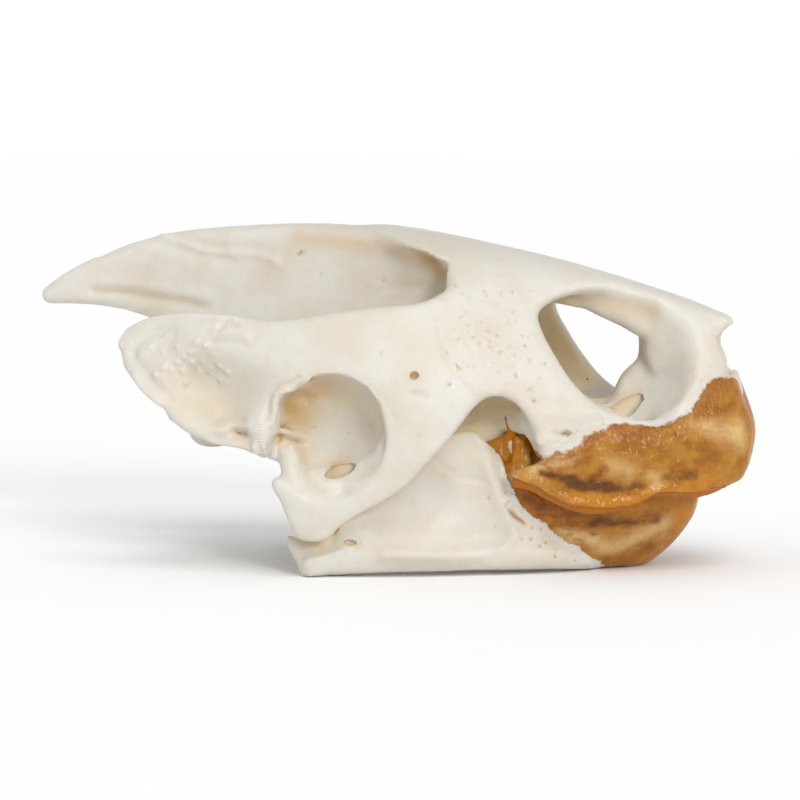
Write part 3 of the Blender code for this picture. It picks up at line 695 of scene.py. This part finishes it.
def refine_along(piece, strokes):
    points, normals, skin = points_of(piece), normals_of(piece), skin_of(piece)
    chosen = np.zeros(len(points), bool)
    for pixels, _, _ in strokes:
        for side in both_paths(skin, pixels):
            chosen[beside(points, normals, side, REFINED_REACH)[0]] = True
    pick(piece)
    bpy.ops.object.mode_set(mode="EDIT")
    bpy.ops.mesh.select_all(action="DESELECT")
    bpy.ops.mesh.select_mode(type="VERT")
    bpy.ops.object.mode_set(mode="OBJECT")
    piece.data.vertices.foreach_set("select", chosen)
    bpy.ops.object.mode_set(mode="EDIT")
    bpy.ops.mesh.subdivide(number_cuts=1)
    bpy.ops.mesh.quads_convert_to_tris()
    bpy.ops.object.mode_set(mode="OBJECT")
    print(piece.name, "is refined to", triangles_in(piece), "triangles")


def dots(spots, width, growth, strength):
    return [([(across, down)], width + growth * size, strength * size) for across, down, size in spots]


# %% [markdown]
# The finest marks are vessel pores, which lie scattered over the cheek, the snout and the jaw, and
# the knobs on the rear bone. The larger pores were read off the photograph, each with a size from
# 1 to 5. The faintest ones have no place that matters, so a fixed random scatter adds them.

# %% Pores and knobs
cranium_pores = [
    (485, 291, 2), (513, 293, 2), (531, 290, 2), (470, 299, 2), (498, 305, 3), (504, 309, 2), (461, 317, 2),
    (497, 318, 2), (511, 325, 2), (517, 321, 2), (481, 323, 2), (464, 325, 1), (454, 330, 2), (489, 331, 3),
    (505, 331, 2), (522, 335, 3), (529, 337, 2), (473, 337, 2), (496, 336, 2), (511, 335, 2), (480, 343, 3),
    (497, 344, 3), (503, 344, 3), (510, 346, 3), (525, 346, 4), (492, 347, 2), (494, 351, 2), (500, 352, 3),
    (514, 354, 3), (517, 349, 2), (530, 361, 4), (545, 364, 4), (505, 365, 3), (512, 364, 2), (557, 369, 2),
    (485, 365, 2), (474, 368, 2), (498, 372, 2), (516, 377, 3), (446, 353, 2), (450, 385, 4), (507, 385, 2),
    (525, 386, 2), (531, 390, 5), (534, 401, 5), (540, 378, 2), (578, 432, 3), (569, 434, 4), (417, 436, 2),
    (228, 274, 3), (301, 254, 4), (301, 252, 4), (321, 275, 4), (383, 282, 3), (377, 280, 2), (367, 288, 2),
    (455, 285, 3), (428, 299, 3), (268, 262, 2), (315, 396, 3), (315, 427, 3), (349, 433, 3)]
jaw_pores = [
    (488, 499, 3), (494, 527, 2), (458, 567, 2), (532, 528, 3), (541, 529, 3), (531, 539, 3), (522, 539, 2),
    (546, 542, 4), (540, 546, 4), (555, 557, 4), (575, 561, 3), (556, 549, 2), (508, 478, 3), (509, 485, 3),
    (505, 473, 3), (512, 493, 3), (506, 493, 2), (509, 502, 3), (519, 505, 2), (521, 512, 2), (503, 465, 2)]
scatter = random.Random(4)
for count, (left, far_right), (top, bottom), pore_sizes in (
    (70, (453, 524), (288, 372), (0.8, 1.2, 2)),
    (24, (684, 718), (342, 396), (0.6, 1)),
):
    cranium_pores += [
        (scatter.uniform(left, far_right), scatter.uniform(top, bottom), scatter.choice(pore_sizes))
        for _ in range(count)]
knobs = [
    ([spot], 0.3, 0.32) for spot in (
        (162, 352), (177, 362), (167, 336), (192, 362), (201, 361), (184, 357), (199, 370), (173, 379),
        (220, 366), (221, 380), (213, 353), (190, 352), (163, 368), (157, 354), (205, 346), (171, 371),
        (182, 371), (209, 371), (178, 347), (196, 342), (150, 347), (155, 375), (186, 383), (228, 372))]
fine_cheek = [
    ([(555, 433), (563, 434), (569, 434.5)], 0.25, -0.45),
    ([(566, 434), (570, 434.5)], 0.25, -0.5),
    ([(599, 414), (603, 424)], 0.2, -0.15),
]
fine_jaw = [
    ([(507, 506), (512, 513), (518, 519), (525, 524)], 0.2, -0.25),
    ([(513, 514), (518, 519), (522, 522)], 0.22, -0.3),
]
fine_cranium = knobs + ear_rim + fine_cheek + dots(cranium_pores, 0.08, 0.025, -0.07)
fine_mandible = fine_jaw + dots(jaw_pores, 0.08, 0.025, -0.07)
print("pores on the cranium and the jaw:", len(cranium_pores), len(jaw_pores))

# %% [markdown]
# Holes for vessels and nerves have crisp edges, so they are cut with a Boolean after the thinning,
# with no remesh behind it. Their cutters are placed first, on the skin that the pixels were read
# against: a ball for a round hole, and a prism for a window with an outline of its own.

# %% Holes
def hole(piece, middle, radii, turn=0):
    place, _ = seen_on(skin_of(piece), [middle])[0]
    return ball(place, radii, (0, turn, 0))


def window(piece, middle, outline, length):
    depth = seen_on(skin_of(piece), [middle])[0][0][1]
    return prism(outline, depth - length / 2, depth + length / 2)


cheek_hole = hole(cranium, (414.5, 375.5), (0.53, 0.62, 0.46), -20)
bar_hole = hole(cranium, (587.6, 379.2), (0.13, 0.6, 0.14))
rear_hole = hole(cranium, (239.5, 433), (0.4, 0.8, 0.16))
ear_hole = window(cranium, (340, 471), [
    (324, 475.5), (326, 471.5), (331.5, 466), (339, 464.5), (353, 463), (356.4, 464.5), (354.5, 469.4),
    (350, 473.6), (342, 477), (333, 479), (325.5, 478)], 2.6)
floor_hole = window(cranium, (628, 406), [
    (605, 410), (622, 399), (637, 393), (643, 394), (644.5, 399), (634.5, 413), (629, 417), (617, 416)], 3.0)
nerve_hole = hole(mandible, (350.5, 542.5), (0.73, 0.9, 0.33), 5)
for piece, most, relief, strokes, holes in (
    (cranium, 152_000, 0.06, fine_cranium, [cheek_hole, bar_hole, rear_hole, ear_hole, floor_hole]),
    (mandible, 90_000, 0.05, fine_mandible, [nerve_hole]),
):
    thin_out(piece, most, relief)
    refine_along(piece, strokes)
    carve(piece, strokes)
    cut_from(piece, holes)
    print(piece.name, "has", triangles_in(piece), "triangles with its holes")
thin_out(upper_horn, 100_000, 0.02)
thin_out(lower_horn, 90_000, 0.02)

# %% [markdown]
# Hollows of dry bone look warm tan: partly from old grease, and partly from the warm light that
# bounces and passes through bone in shade. Both are painted into the colour here, the light as a
# pale warm tan, while rims and knobs keep the plain white. That could be painted by hand on each
# vertex. Here rays are sent out from every vertex instead, and the share that meets bone or horn is
# kept as the attribute "shelter".

# %% How sheltered each point is
def keep_on_points(piece, name, values):
    layer = piece.data.attributes.new(name, "FLOAT", "POINT")
    layer.data.foreach_set("value", values.astype(np.float32))


def blur(piece, values, turns):
    first, second = edges_of(piece).T
    count = np.bincount(np.r_[first, second], minlength=len(values))
    for _ in range(turns):
        total = np.bincount(np.r_[first, second], np.r_[values[second], values[first]], len(values))
        values = 0.5 * values + 0.5 * total / np.maximum(count, 1)
    return values


def shelter_of(piece, skin, rays=16, reach=22):
    step = np.arange(rays) + 0.5
    height = 1 - 2 * step / rays
    turn = math.pi * (1 + 5 ** 0.5) * step
    ring = np.sqrt(1 - height ** 2)
    around = np.stack([ring * np.cos(turn), ring * np.sin(turn), height], 1) * 0.97
    points, normals = points_of(piece), normals_of(piece)
    starts = ((points + normals * 0.25) * MM).tolist()
    blocked = np.zeros(len(points))
    for ray in around:
        aims = (normals + ray).tolist()
        blocked += [skin.ray_cast(start, aim, reach * MM)[0] is not None for start, aim in zip(starts, aims)]
    return blur(piece, blocked / rays, 4)


bones_and_horn = [cranium, mandible, upper_horn, lower_horn]
whole_skin = skin_of(*bones_and_horn)
for piece in bones_and_horn:
    shelter = shelter_of(piece, whole_skin)
    keep_on_points(piece, "shelter", shelter)
    print(piece.name, "mean shelter", round(float(shelter.mean()), 2))

# %% [markdown]
# Other marks sit where they do on this one skull. On the bone they are tan marks that paint shade,
# with its old grease, into single holes, slits, grooves, pores and the undersides of overhangs. On
# the horn they are the dark, warm and pale mottling, and along the lower horn's top, under the upper
# beak's edge, the dark and warm marks also paint the shadow that edge casts. They are drawn with the
# same strokes as the relief, but what the points feel is kept as an attribute for the materials.
# Each row has the stroke's pixels, its width in millimetres and its strength.

# %% Painted shade and grease on the bone
# Painted shade: these tan marks lie in the ear's pocket and slits, in holes, in the crest's groove, under the
# temple's and the eye socket's roofs and in the rear bone's dish, where shade falls, and they also stand for
# the grease there.
shade_and_grease_marks = [
    ([(292, 400), (316, 390)], 3.0, 0.6),
    ([(284, 402), (290, 414), (304, 420)], 1.6, 0.3),
    ([(412, 377), (417, 374)], 0.5, 0.9),
    ([(282, 436), (296, 441)], 0.5, 0.6),
    ([(284, 427), (290, 429)], 0.35, 0.8),
    ([(301, 450), (305, 462)], 0.5, 0.35),
    ([(340, 470.5)], 1.3, 0.9),
    ([(300, 238), (340, 242), (380, 247), (410, 252), (434, 260)], 1.0, 0.35),
    ([(434, 262), (440, 272)], 1.2, 0.5),
    ([(556, 302), (575, 298), (600, 302), (630, 308), (652, 313)], 1.1, 0.42),
    ([(615, 410), (628, 404), (638, 398)], 0.8, 0.5),
    ([(172, 388), (205, 403), (234, 412)], 2.4, 0.2),
    ([(717, 338)], 0.4, 0.45),
    ([(96, 290), (126, 291.5), (147, 296), (170, 299), (186, 301), (203, 306)], 0.45, 0.28),
    ([(238, 433), (242, 433)], 0.4, 0.9),
]
shade_and_grease_marks += dots(cranium_pores, 0.07, 0.02, 0.26)
# Painted shade with grease on the jaw: its nerve hole, the groove by the horn and the strip under the
# quadrate's foot.
jaw_shade_and_grease_marks = [
    ([(344, 542), (357, 543)], 0.4, 0.6),
    ([(303, 548), (322, 547)], 0.5, 0.3),
    ([(510, 511), (516, 517), (523, 523)], 0.3, 0.75),
]
jaw_shade_and_grease_marks += dots(jaw_pores, 0.07, 0.02, 0.26)
suture = [([(260, 420), (259, 437), (262, 452)], 0.8, 0.8)]
print("stains on the cranium and the jaw:", len(shade_and_grease_marks), len(jaw_shade_and_grease_marks))

# %% Marks on the horn
dark_bands_and_upper_beak_shadow = [
    ([(541, 473), (556, 477), (573, 477)], 0.5, 0.95),
    ([(569, 483), (588, 488), (606, 487)], 0.62, 1.1),
    ([(606, 488), (625, 489), (642, 486)], 0.7, 0.75),
    ([(592, 480), (600, 474)], 0.5, 0.6),
    ([(665, 477), (680, 478), (694, 474)], 0.7, 0.7),
    # Partly painted shadow: along the lower horn's top this band darkens both its own dark horn and the
    # shadow cast by the upper beak's edge.
    ([(524, 499), (545, 513), (570, 523), (594, 527)], 0.7, 0.55),
    ([(598, 522), (630, 523), (658, 520)], 0.6, 0.85),
    ([(636, 545), (651, 548)], 0.5, 0.5),
    ([(619, 558), (628, 557)], 0.45, 0.5),
]
warm_patches_and_upper_beak_shadow = [
    ([(524, 444), (532, 452)], 0.9, 0.9),
    ([(587, 435), (603, 434)], 0.8, 0.9),
    ([(614, 426), (628, 432), (641, 438)], 0.9, 0.9),
    ([(628, 444), (640, 454)], 0.9, 0.8),
    ([(578, 462), (590, 458)], 0.7, 0.9),
    ([(545, 471), (565, 472)], 0.7, 0.7),
    ([(594, 478), (604, 470)], 0.8, 0.9),
    ([(680, 415), (700, 412)], 0.8, 0.7),
    ([(705, 404), (718, 410)], 0.8, 0.9),
    ([(709, 395), (718, 384)], 0.9, 0.8),
    ([(727, 408), (734, 406)], 0.6, 0.7),
    ([(690, 446), (704, 449)], 0.6, 0.7),
    ([(707, 458), (725, 455)], 0.6, 0.6),
    ([(652, 436), (672, 432)], 0.7, 0.6),
    ([(680, 440), (712, 446)], 0.7, 0.5),
    ([(672, 468), (700, 468), (716, 458)], 0.8, 0.5),
    # Partly painted shadow: this broad warm mark darkens the lower horn's top under the upper beak's edge,
    # for its dark horn and for the shadow there.
    ([(522, 494), (545, 509), (570, 519), (594, 524)], 1.3, 1.3),
    ([(600, 518), (640, 518), (664, 512)], 0.9, 0.7),
    ([(625, 552), (650, 545)], 0.9, 0.6),
]
pale_patches = [
    ([(651, 476), (659, 479), (655, 487)], 0.6, 0.6),
    ([(712, 428), (732, 434)], 1.2, 0.7),
    ([(535, 468), (556, 462), (572, 459)], 0.8, 0.7),
    ([(612, 466), (628, 470)], 1.0, 0.6),
    ([(690, 424), (704, 426)], 0.6, 0.5),
    ([(738, 425), (742, 445)], 1.0, 0.5),
    ([(566, 534), (578, 540), (592, 537)], 1.0, 1.5),
    ([(604, 548), (624, 545), (644, 534), (664, 524)], 1.1, 0.8),
    ([(514, 476), (530, 456)], 0.5, 0.8),
]
amber_parts = [
    ([(495, 447), (505, 452), (518, 452), (530, 448)], 2.0, 1.2),
    ([(506, 420), (508, 432)], 1.0, 1.2),
    ([(508, 474), (518, 492), (545, 509), (575, 520)], 1.3, 1.2),
    ([(664, 503), (684, 510), (678, 525)], 1.1, 0.9),
    ([(600, 512), (630, 508), (655, 503)], 0.6, 0.8),
    ([(575, 498), (600, 502), (628, 500), (645, 494)], 0.8, 1.0),
    ([(662, 486), (690, 486), (712, 480)], 0.8, 0.7),
]
print("marks on the horn:", len(dark_bands_and_upper_beak_shadow + warm_patches_and_upper_beak_shadow + pale_patches + amber_parts))

# %% [markdown]
# Two more attributes tell where horn ends. "inside" is the distance from the border in millimetres,
# more than 0 on the horn's side, and "step" is the distance below the upper horn's newer layer.
# Places that can't be near the border are given a value far to their own side.

# %% Marks and borders on the points
BORDER_WIDTH = 0.8
SURELY_HORN, SURELY_BONE = 8, -4
LOWER_BORDER_STRETCH = 1.5
horn_marks = {"dark": dark_bands_and_upper_beak_shadow, "warm": warm_patches_and_upper_beak_shadow, "pale": pale_patches, "amber": amber_parts}
for piece in bones_and_horn:
    points = points_of(piece)
    is_bone = piece in (cranium, mandible)
    bone_marks = {"shade_and_grease": shade_and_grease_marks if piece is cranium else jaw_shade_and_grease_marks, "suture": suture}
    for name, strokes in (bone_marks if is_bone else horn_marks).items():
        keep_on_points(piece, name, np.clip(felt_by(piece, strokes)[0], 0, 1))
    inside = gap_to_line(points, upper_border)
    if piece in (mandible, lower_horn):
        inside = -LOWER_BORDER_STRETCH * gap_to_line(points, lower_border)
    if is_bone:
        covered = how_deep_in(points, upper_reach if piece is cranium else lower_reach) > 0.02
        far_side = np.where(covered & (inside > 0), SURELY_HORN, SURELY_BONE)
        inside = np.where(np.abs(inside) < BORDER_WIDTH, inside, far_side)
    else:
        inside[np.abs(inside) > (3.0 if piece is upper_horn else 2.0)] = SURELY_HORN
    keep_on_points(piece, "inside", inside)
    step = gap_to_line(points, upper_step) if piece is upper_horn else np.full(len(points), -4.0)
    keep_on_points(piece, "step", np.clip(step, -4, 4))
    print(piece.name, "points on the horn's side of the border:", int((inside > 0).sum()))

# %% [markdown]
# Materials are built from nodes. Two helpers do the repeated work: one turns a colour as it is
# seen on a screen into the linear light that Blender computes with, and one adds a node and feeds
# its sockets with values and links. Every kind of node has a name that starts with ShaderNode, so
# the helper adds that word. A mix node's sockets share their names, so they are picked by number.

# %% Colours and nodes
def linear(seen):
    parts = [int(seen[i:i + 2], 16) / 255 for i in (1, 3, 5)]
    return tuple(c / 12.92 if c <= 0.04045 else ((c + 0.055) / 1.055) ** 2.4 for c in parts) + (1.0,)


def feed(finish, step, inputs):
    for socket, value in inputs.items():
        if isinstance(value, bpy.types.NodeSocket):
            finish.node_tree.links.new(value, step.inputs[socket])
        else:
            step.inputs[socket].default_value = value


def add_node(finish, kind, inputs=None, **settings):
    step = finish.node_tree.nodes.new("ShaderNode" + kind)
    for name, value in settings.items():
        setattr(step, name, value)
    feed(finish, step, inputs or {})
    return step


FACTOR, COLOUR_A, COLOUR_B, COLOUR = 0, 6, 7, 2
print("middle grey is", round(linear("#808080")[0], 3), "in linear light")

# %% [markdown]
# Dry, cleaned bone: white with a warm cast, a little light passing through its thin edges, and a
# satin surface with very fine pores. Broad and fine noise break up the white as grease and mottling
# do. The shelter attribute paints a light warm glow of bounced light into the hollows along with
# their grease, and the marks drawn from strokes paint shade and grease into holes, grooves and
# undersides.
# Where the beak's horn thins out, its last film lies on the bone, so both finishes share one border
# that noise makes ragged, and each shows the other past it.

# %% Colour of the bone
def bone_colour(finish):
    place = add_node(finish, "TexCoord").outputs["Object"]
    broad = add_node(finish, "TexNoise", {"Vector": place, "Scale": 1 / (6.5 * MM), "Detail": 3.0})
    close = add_node(finish, "TexNoise", {
        "Vector": place, "Scale": 1 / (1.5 * MM), "Detail": 6.0, "Roughness": 0.6})
    shelter, shade_and_grease = (
        add_node(finish, "Attribute", attribute_name=name) for name in ("shelter", "shade_and_grease"))
    grease = add_node(finish, "MapRange", {
        "Value": broad.outputs["Fac"], "From Min": 0.42, "From Max": 0.66})
    mottle = add_node(finish, "MapRange", {
        "Value": close.outputs["Fac"], "From Min": 0.5, "From Max": 0.8, "To Max": 0.5})
    hollow_glow_and_grease = add_node(finish, "MapRange", {
        # Painted light: sheltered hollows get a pale warm tan that stands in for the light bouncing in them,
        # along with their old grease.
        "Value": shelter.outputs["Fac"], "From Min": 0.44, "From Max": 0.95, "To Max": 1.0})
    colour = linear("#CFCBC2")
    for share, tint in (
        (grease.outputs[0], "#CAC2B2"), (mottle.outputs[0], "#C5BAA4"), (hollow_glow_and_grease.outputs[0], "#F6E6C4"),
        # Painted shade: the last tint darkens the marked holes, grooves and undersides, along with their
        # grease.
        (shade_and_grease.outputs["Fac"], "#BC9450"),
    ):
        colour = add_node(finish, "Mix", {
            FACTOR: share, COLOUR_A: colour, COLOUR_B: linear(tint)}, data_type="RGBA").outputs[COLOUR]
    return colour


# %% [markdown]
# Horn is laid down in layers of different brown, so its colour is mixed the same way: broad and
# close noise, upright streaks, and the marks that were kept on the points. Noise breaks up the
# edges of the warm and dark marks, which would otherwise show as the strokes they were drawn with.

# %% Colour of the horn
def horn_colour(finish):
    place = add_node(finish, "TexCoord").outputs["Object"]
    broad = add_node(finish, "TexNoise", {
        "Vector": place, "Scale": 1 / (3.0 * MM), "Detail": 5.0, "Roughness": 0.6}).outputs["Fac"]
    along = add_node(finish, "Mapping", {"Vector": place, "Scale": (0.55, 0.55, 1)})
    close = add_node(finish, "TexNoise", {
        "Vector": along.outputs[0], "Scale": 1 / (0.9 * MM), "Detail": 5.0, "Roughness": 0.62,
        "Distortion": 0.2}).outputs["Fac"]
    upright = add_node(finish, "Mapping", {"Vector": place, "Scale": (1, 1, 0.2)})
    streaks = add_node(finish, "TexNoise", {
        "Vector": upright.outputs[0], "Scale": 1 / (0.5 * MM), "Detail": 4.0}).outputs["Fac"]
    amber, pale, warm, inside, dark, step = (
        add_node(finish, "Attribute", attribute_name=name).outputs["Fac"]
        for name in ("amber", "pale", "warm", "inside", "dark", "step"))

    brown, streaky, cloudy, fringe = (
        add_node(finish, "MapRange", {
            "Value": value, "From Min": low, "From Max": high, "To Min": least, "To Max": most}).outputs[0]
        for value, low, high, least, most in (
            (broad, 0.4, 0.62, 0.0, 1.0), (streaks, 0.48, 0.8, 0.0, 0.45), (close, 0.3, 0.55, 0.5, 1.0),
            (inside, 0.3, 2.2, 0.75, 0.0)))
    paler = add_node(finish, "Math", {0: pale, 1: cloudy}, operation="MULTIPLY")
    warmer = add_node(finish, "Math", {0: warm, 1: fringe}, operation="MAXIMUM")
    broken_up = []
    for share, spread, low, high, most in (
        (warmer.outputs[0], 0.42, -0.15, 1.35, 0.95), (dark, 0.22, 0.05, 1.15, 0.9),
    ):
        breaks = add_node(finish, "MapRange", {
            "Value": close, "From Min": 0.35, "From Max": 0.65, "To Min": -spread, "To Max": spread})
        uneven_share = add_node(finish, "Math", {0: share, 1: breaks.outputs[0]}, operation="ADD")
        broken_up.append(add_node(finish, "MapRange", {
            "Value": uneven_share.outputs[0], "From Min": low, "From Max": high, "To Max": most},
            interpolation_type="SMOOTHSTEP").outputs[0])
    lip = add_node(finish, "MapRange", {
        "Value": step, "From Min": 0.0, "From Max": 0.25}, interpolation_type="SMOOTHSTEP")

    colour = linear("#AC7924")
    for share, tint in (
        (brown, "#996010"), (streaky, "#965F1A"), (amber, "#B4720A"),
        (paler.outputs[0], "#D0B078"), (broken_up[0], "#8E5006"), (broken_up[1], "#4C2204"),
        (lip.outputs[0], "#A8620C"),
    ):
        colour = add_node(finish, "Mix", {
            FACTOR: share, COLOUR_A: colour, COLOUR_B: linear(tint)}, data_type="RGBA").outputs[COLOUR]
    return colour


# %% Where horn ends, gloss and relief
def horn_share(finish):
    place = add_node(finish, "TexCoord").outputs["Object"]
    ragged = add_node(finish, "TexNoise", {
        "Vector": place, "Scale": 1 / (0.8 * MM), "Detail": 5.0, "Roughness": 0.6})
    amount = add_node(finish, "MapRange", {
        "Value": ragged.outputs["Fac"], "From Min": 0.3, "From Max": 0.7, "To Min": -0.3, "To Max": 0.3})
    inside = add_node(finish, "Attribute", attribute_name="inside")
    edge = add_node(finish, "Math", {0: inside.outputs["Fac"], 1: amount.outputs[0]}, operation="ADD")
    clear_cut = add_node(finish, "MapRange", {
        "Value": edge.outputs[0], "From Min": -0.25, "From Max": 0.25}, interpolation_type="SMOOTHSTEP")
    return clear_cut.outputs[0]


def grown_finish(name):
    finish = bpy.data.materials.new(name)
    finish.use_nodes = True
    shader = finish.node_tree.nodes["Principled BSDF"]
    share = horn_share(finish)
    colour = add_node(finish, "Mix", {
        FACTOR: share, COLOUR_A: bone_colour(finish), COLOUR_B: horn_colour(finish)}, data_type="RGBA")
    gloss = add_node(finish, "MapRange", {"Value": share, "To Min": 0.5, "To Max": 0.3})
    place = add_node(finish, "TexCoord").outputs["Object"]
    grain = add_node(finish, "TexNoise", {"Vector": place, "Scale": 1 / (0.35 * MM), "Detail": 4.0})
    fine = add_node(finish, "Bump", {
        "Height": grain.outputs["Fac"], "Strength": 0.3, "Distance": 0.08 * MM})
    lumps = add_node(finish, "TexNoise", {"Vector": place, "Scale": 1 / (1.4 * MM), "Detail": 5.0})
    coarse = add_node(finish, "Bump", {
        "Height": lumps.outputs["Fac"], "Strength": 0.35, "Distance": 0.2 * MM, "Normal": fine.outputs[0]})
    feed(finish, shader, {"Base Color": colour.outputs[COLOUR], "Roughness": gloss.outputs[0]})
    return finish, shader, share, place, coarse.outputs[0]


# %% [markdown]
# The bone's finish adds the suture behind the ear hollow: two bones meet there in fine leaves, about
# 0.33 mm apart. Light goes a little way into bone, which softens its shadows.

# %% Dry bone
dry_bone, shader, _, place, relief = grown_finish("dry_bone")
leaves = add_node(dry_bone, "TexWave", {
    "Vector": place, "Scale": 0.314 / (0.33 * MM), "Distortion": 12.0, "Detail": 3.0, "Detail Scale": 0.7},
    wave_type="BANDS", bands_direction="Z")
suture_share = add_node(dry_bone, "Attribute", attribute_name="suture")
leaves = add_node(dry_bone, "Math", {
    0: leaves.outputs["Fac"], 1: suture_share.outputs["Fac"]}, operation="MULTIPLY")
relief = add_node(dry_bone, "Bump", {
    "Height": leaves.outputs[0], "Strength": 0.55, "Distance": 0.12 * MM, "Normal": relief})
feed(dry_bone, shader, {
    "Normal": relief.outputs[0], "IOR": 1.5, "Subsurface Weight": 0.2,
    "Subsurface Radius": (1.0, 0.6, 0.35), "Subsurface Scale": 1.4 * MM})
print(dry_bone.name, "is built from", len(dry_bone.node_tree.nodes), "nodes")

# %% [markdown]
# Beak horn is keratin, as a fingernail is: amber, clear enough to glow, and glossy on its surface.
# Upright threads and low swells in its relief break the gloss into small lights.

# %% Beak horn
beak_horn, shader, share, place, relief = grown_finish("beak_horn")
upright = add_node(beak_horn, "Mapping", {"Vector": place, "Scale": (1, 1, 0.12)})
threads = add_node(beak_horn, "TexNoise", {
    "Vector": upright.outputs[0], "Scale": 1 / (0.35 * MM), "Detail": 3.0})
relief = add_node(beak_horn, "Bump", {
    "Height": threads.outputs["Fac"], "Strength": 1.0, "Distance": 0.16 * MM, "Normal": relief})
swells = add_node(beak_horn, "TexNoise", {"Vector": place, "Scale": 1 / (0.9 * MM), "Detail": 2.0})
relief = add_node(beak_horn, "Bump", {
    "Height": swells.outputs["Fac"], "Strength": 0.7, "Distance": 0.3 * MM, "Normal": relief.outputs[0]})
clear_coat = add_node(beak_horn, "MapRange", {"Value": share, "To Max": 0.5})
feed(beak_horn, shader, {
    "Normal": relief.outputs[0], "IOR": 1.55, "Specular IOR Level": 0.06,
    "Coat Weight": clear_coat.outputs[0], "Coat Normal": relief.outputs[0], "Coat Roughness": 0.09,
    "Subsurface Weight": 0.12, "Subsurface Radius": (1.0, 0.45, 0.15), "Subsurface Scale": 1.0 * MM})
print(beak_horn.name, "is built from", len(beak_horn.node_tree.nodes), "nodes")

# %% [markdown]
# The table is white paper lit until it is almost burnt out, so only the soft shadow close to the
# skull shows. The view transform is Standard, which keeps the paper white and the colours as given.

# %% White paper
TABLE_SIZE = 4.0
FIBRES_IN_A_METRE = 900.0
bpy.ops.object.select_all(action="DESELECT")
bpy.ops.mesh.primitive_plane_add(size=TABLE_SIZE, location=(0, 0, 0))
table = bpy.context.object
table.name = "white_table"
white_paper = bpy.data.materials.new("white_paper")
white_paper.use_nodes = True
shader = white_paper.node_tree.nodes["Principled BSDF"]
place = add_node(white_paper, "TexCoord").outputs["Object"]
fibre = add_node(white_paper, "TexNoise", {"Vector": place, "Scale": FIBRES_IN_A_METRE, "Detail": 4.0})
tint = add_node(white_paper, "Mix", {
    FACTOR: fibre.outputs["Fac"], COLOUR_A: linear("#FDFDFD"), COLOUR_B: linear("#FFFFFF")}, data_type="RGBA")
feed(white_paper, shader, {"Base Color": tint.outputs[COLOUR], "Roughness": 0.9})
table.data.materials.append(white_paper)
print("the paper is", TABLE_SIZE, "m wide")

# %% [markdown]
# A large softbox above the front right gives the main light, a smaller lamp low in front draws the
# relief, and a wide, weak one at the left lifts the crest's shadow. The white room around them is
# brightest near the horizon and behind the skull, which burns out the paper.

# %% Studio light
scene = bpy.context.scene
scene.view_settings.view_transform = "Standard"
scene.view_settings.look = "None"
sky = scene.world = bpy.data.worlds.new("white_studio")
sky.use_nodes = True
split = add_node(sky, "SeparateXYZ", {0: add_node(sky, "TexCoord").outputs["Generated"]})
height = add_node(sky, "MapRange", {
    "Value": split.outputs["Z"], "From Min": 0.1, "From Max": 0.45, "To Min": 1.1, "To Max": 0.6})
behind = add_node(sky, "MapRange", {
    "Value": split.outputs["Y"], "From Min": -0.7, "From Max": 0.3, "To Min": 0.62, "To Max": 1.05})
strength = add_node(sky, "Math", {0: height.outputs[0], 1: behind.outputs[0]}, operation="MULTIPLY")
feed(sky, sky.node_tree.nodes["Background"], {"Color": (1, 1, 1, 1), "Strength": strength.outputs[0]})
for name, place, aim, spread, energy in (
    ("large_softbox", (0.2, -0.4, 0.5), (-0.28, 0.55, -0.79), 36, 1.1),
    ("low_front_lamp", (0.15, -0.5, 0.2), (-0.45, 0.83, -0.33), 14, 1.2),
    ("left_softbox", (-0.4, -0.3, 0.3), (0.6, 0.5, -0.65), 45, 0.2),
):
    bpy.ops.object.select_all(action="DESELECT")
    bpy.ops.object.light_add(type="SUN", location=place)
    lamp = bpy.context.object
    lamp.name = name
    lamp.rotation_euler = Vector(aim).to_track_quat("-Z", "Y").to_euler()
    lamp.data.angle = math.radians(spread)
    lamp.data.energy = energy
    print(name, "shines with", energy, "and is", spread, "degrees wide")

# %% [markdown]
# Each dressed piece now stands for its imported node and moves with the one body the skull has.

# %% Pieces, finishes and the body
SHARP_ANGLE = math.radians(50)
for piece, node, slot, finish in (
    (cranium, "cranium", "bone", dry_bone),
    (mandible, "mandible", "bone", dry_bone),
    (upper_horn, "upper_beak_sheath", "horn", beak_horn),
    (lower_horn, "lower_beak_sheath", "horn", beak_horn),
):
    piece.data.materials.clear()
    piece.data.materials.append(finish)
    pick(piece)
    bpy.ops.object.shade_smooth_by_angle(angle=SHARP_ANGLE)
    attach(piece, "root")
    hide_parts(node)
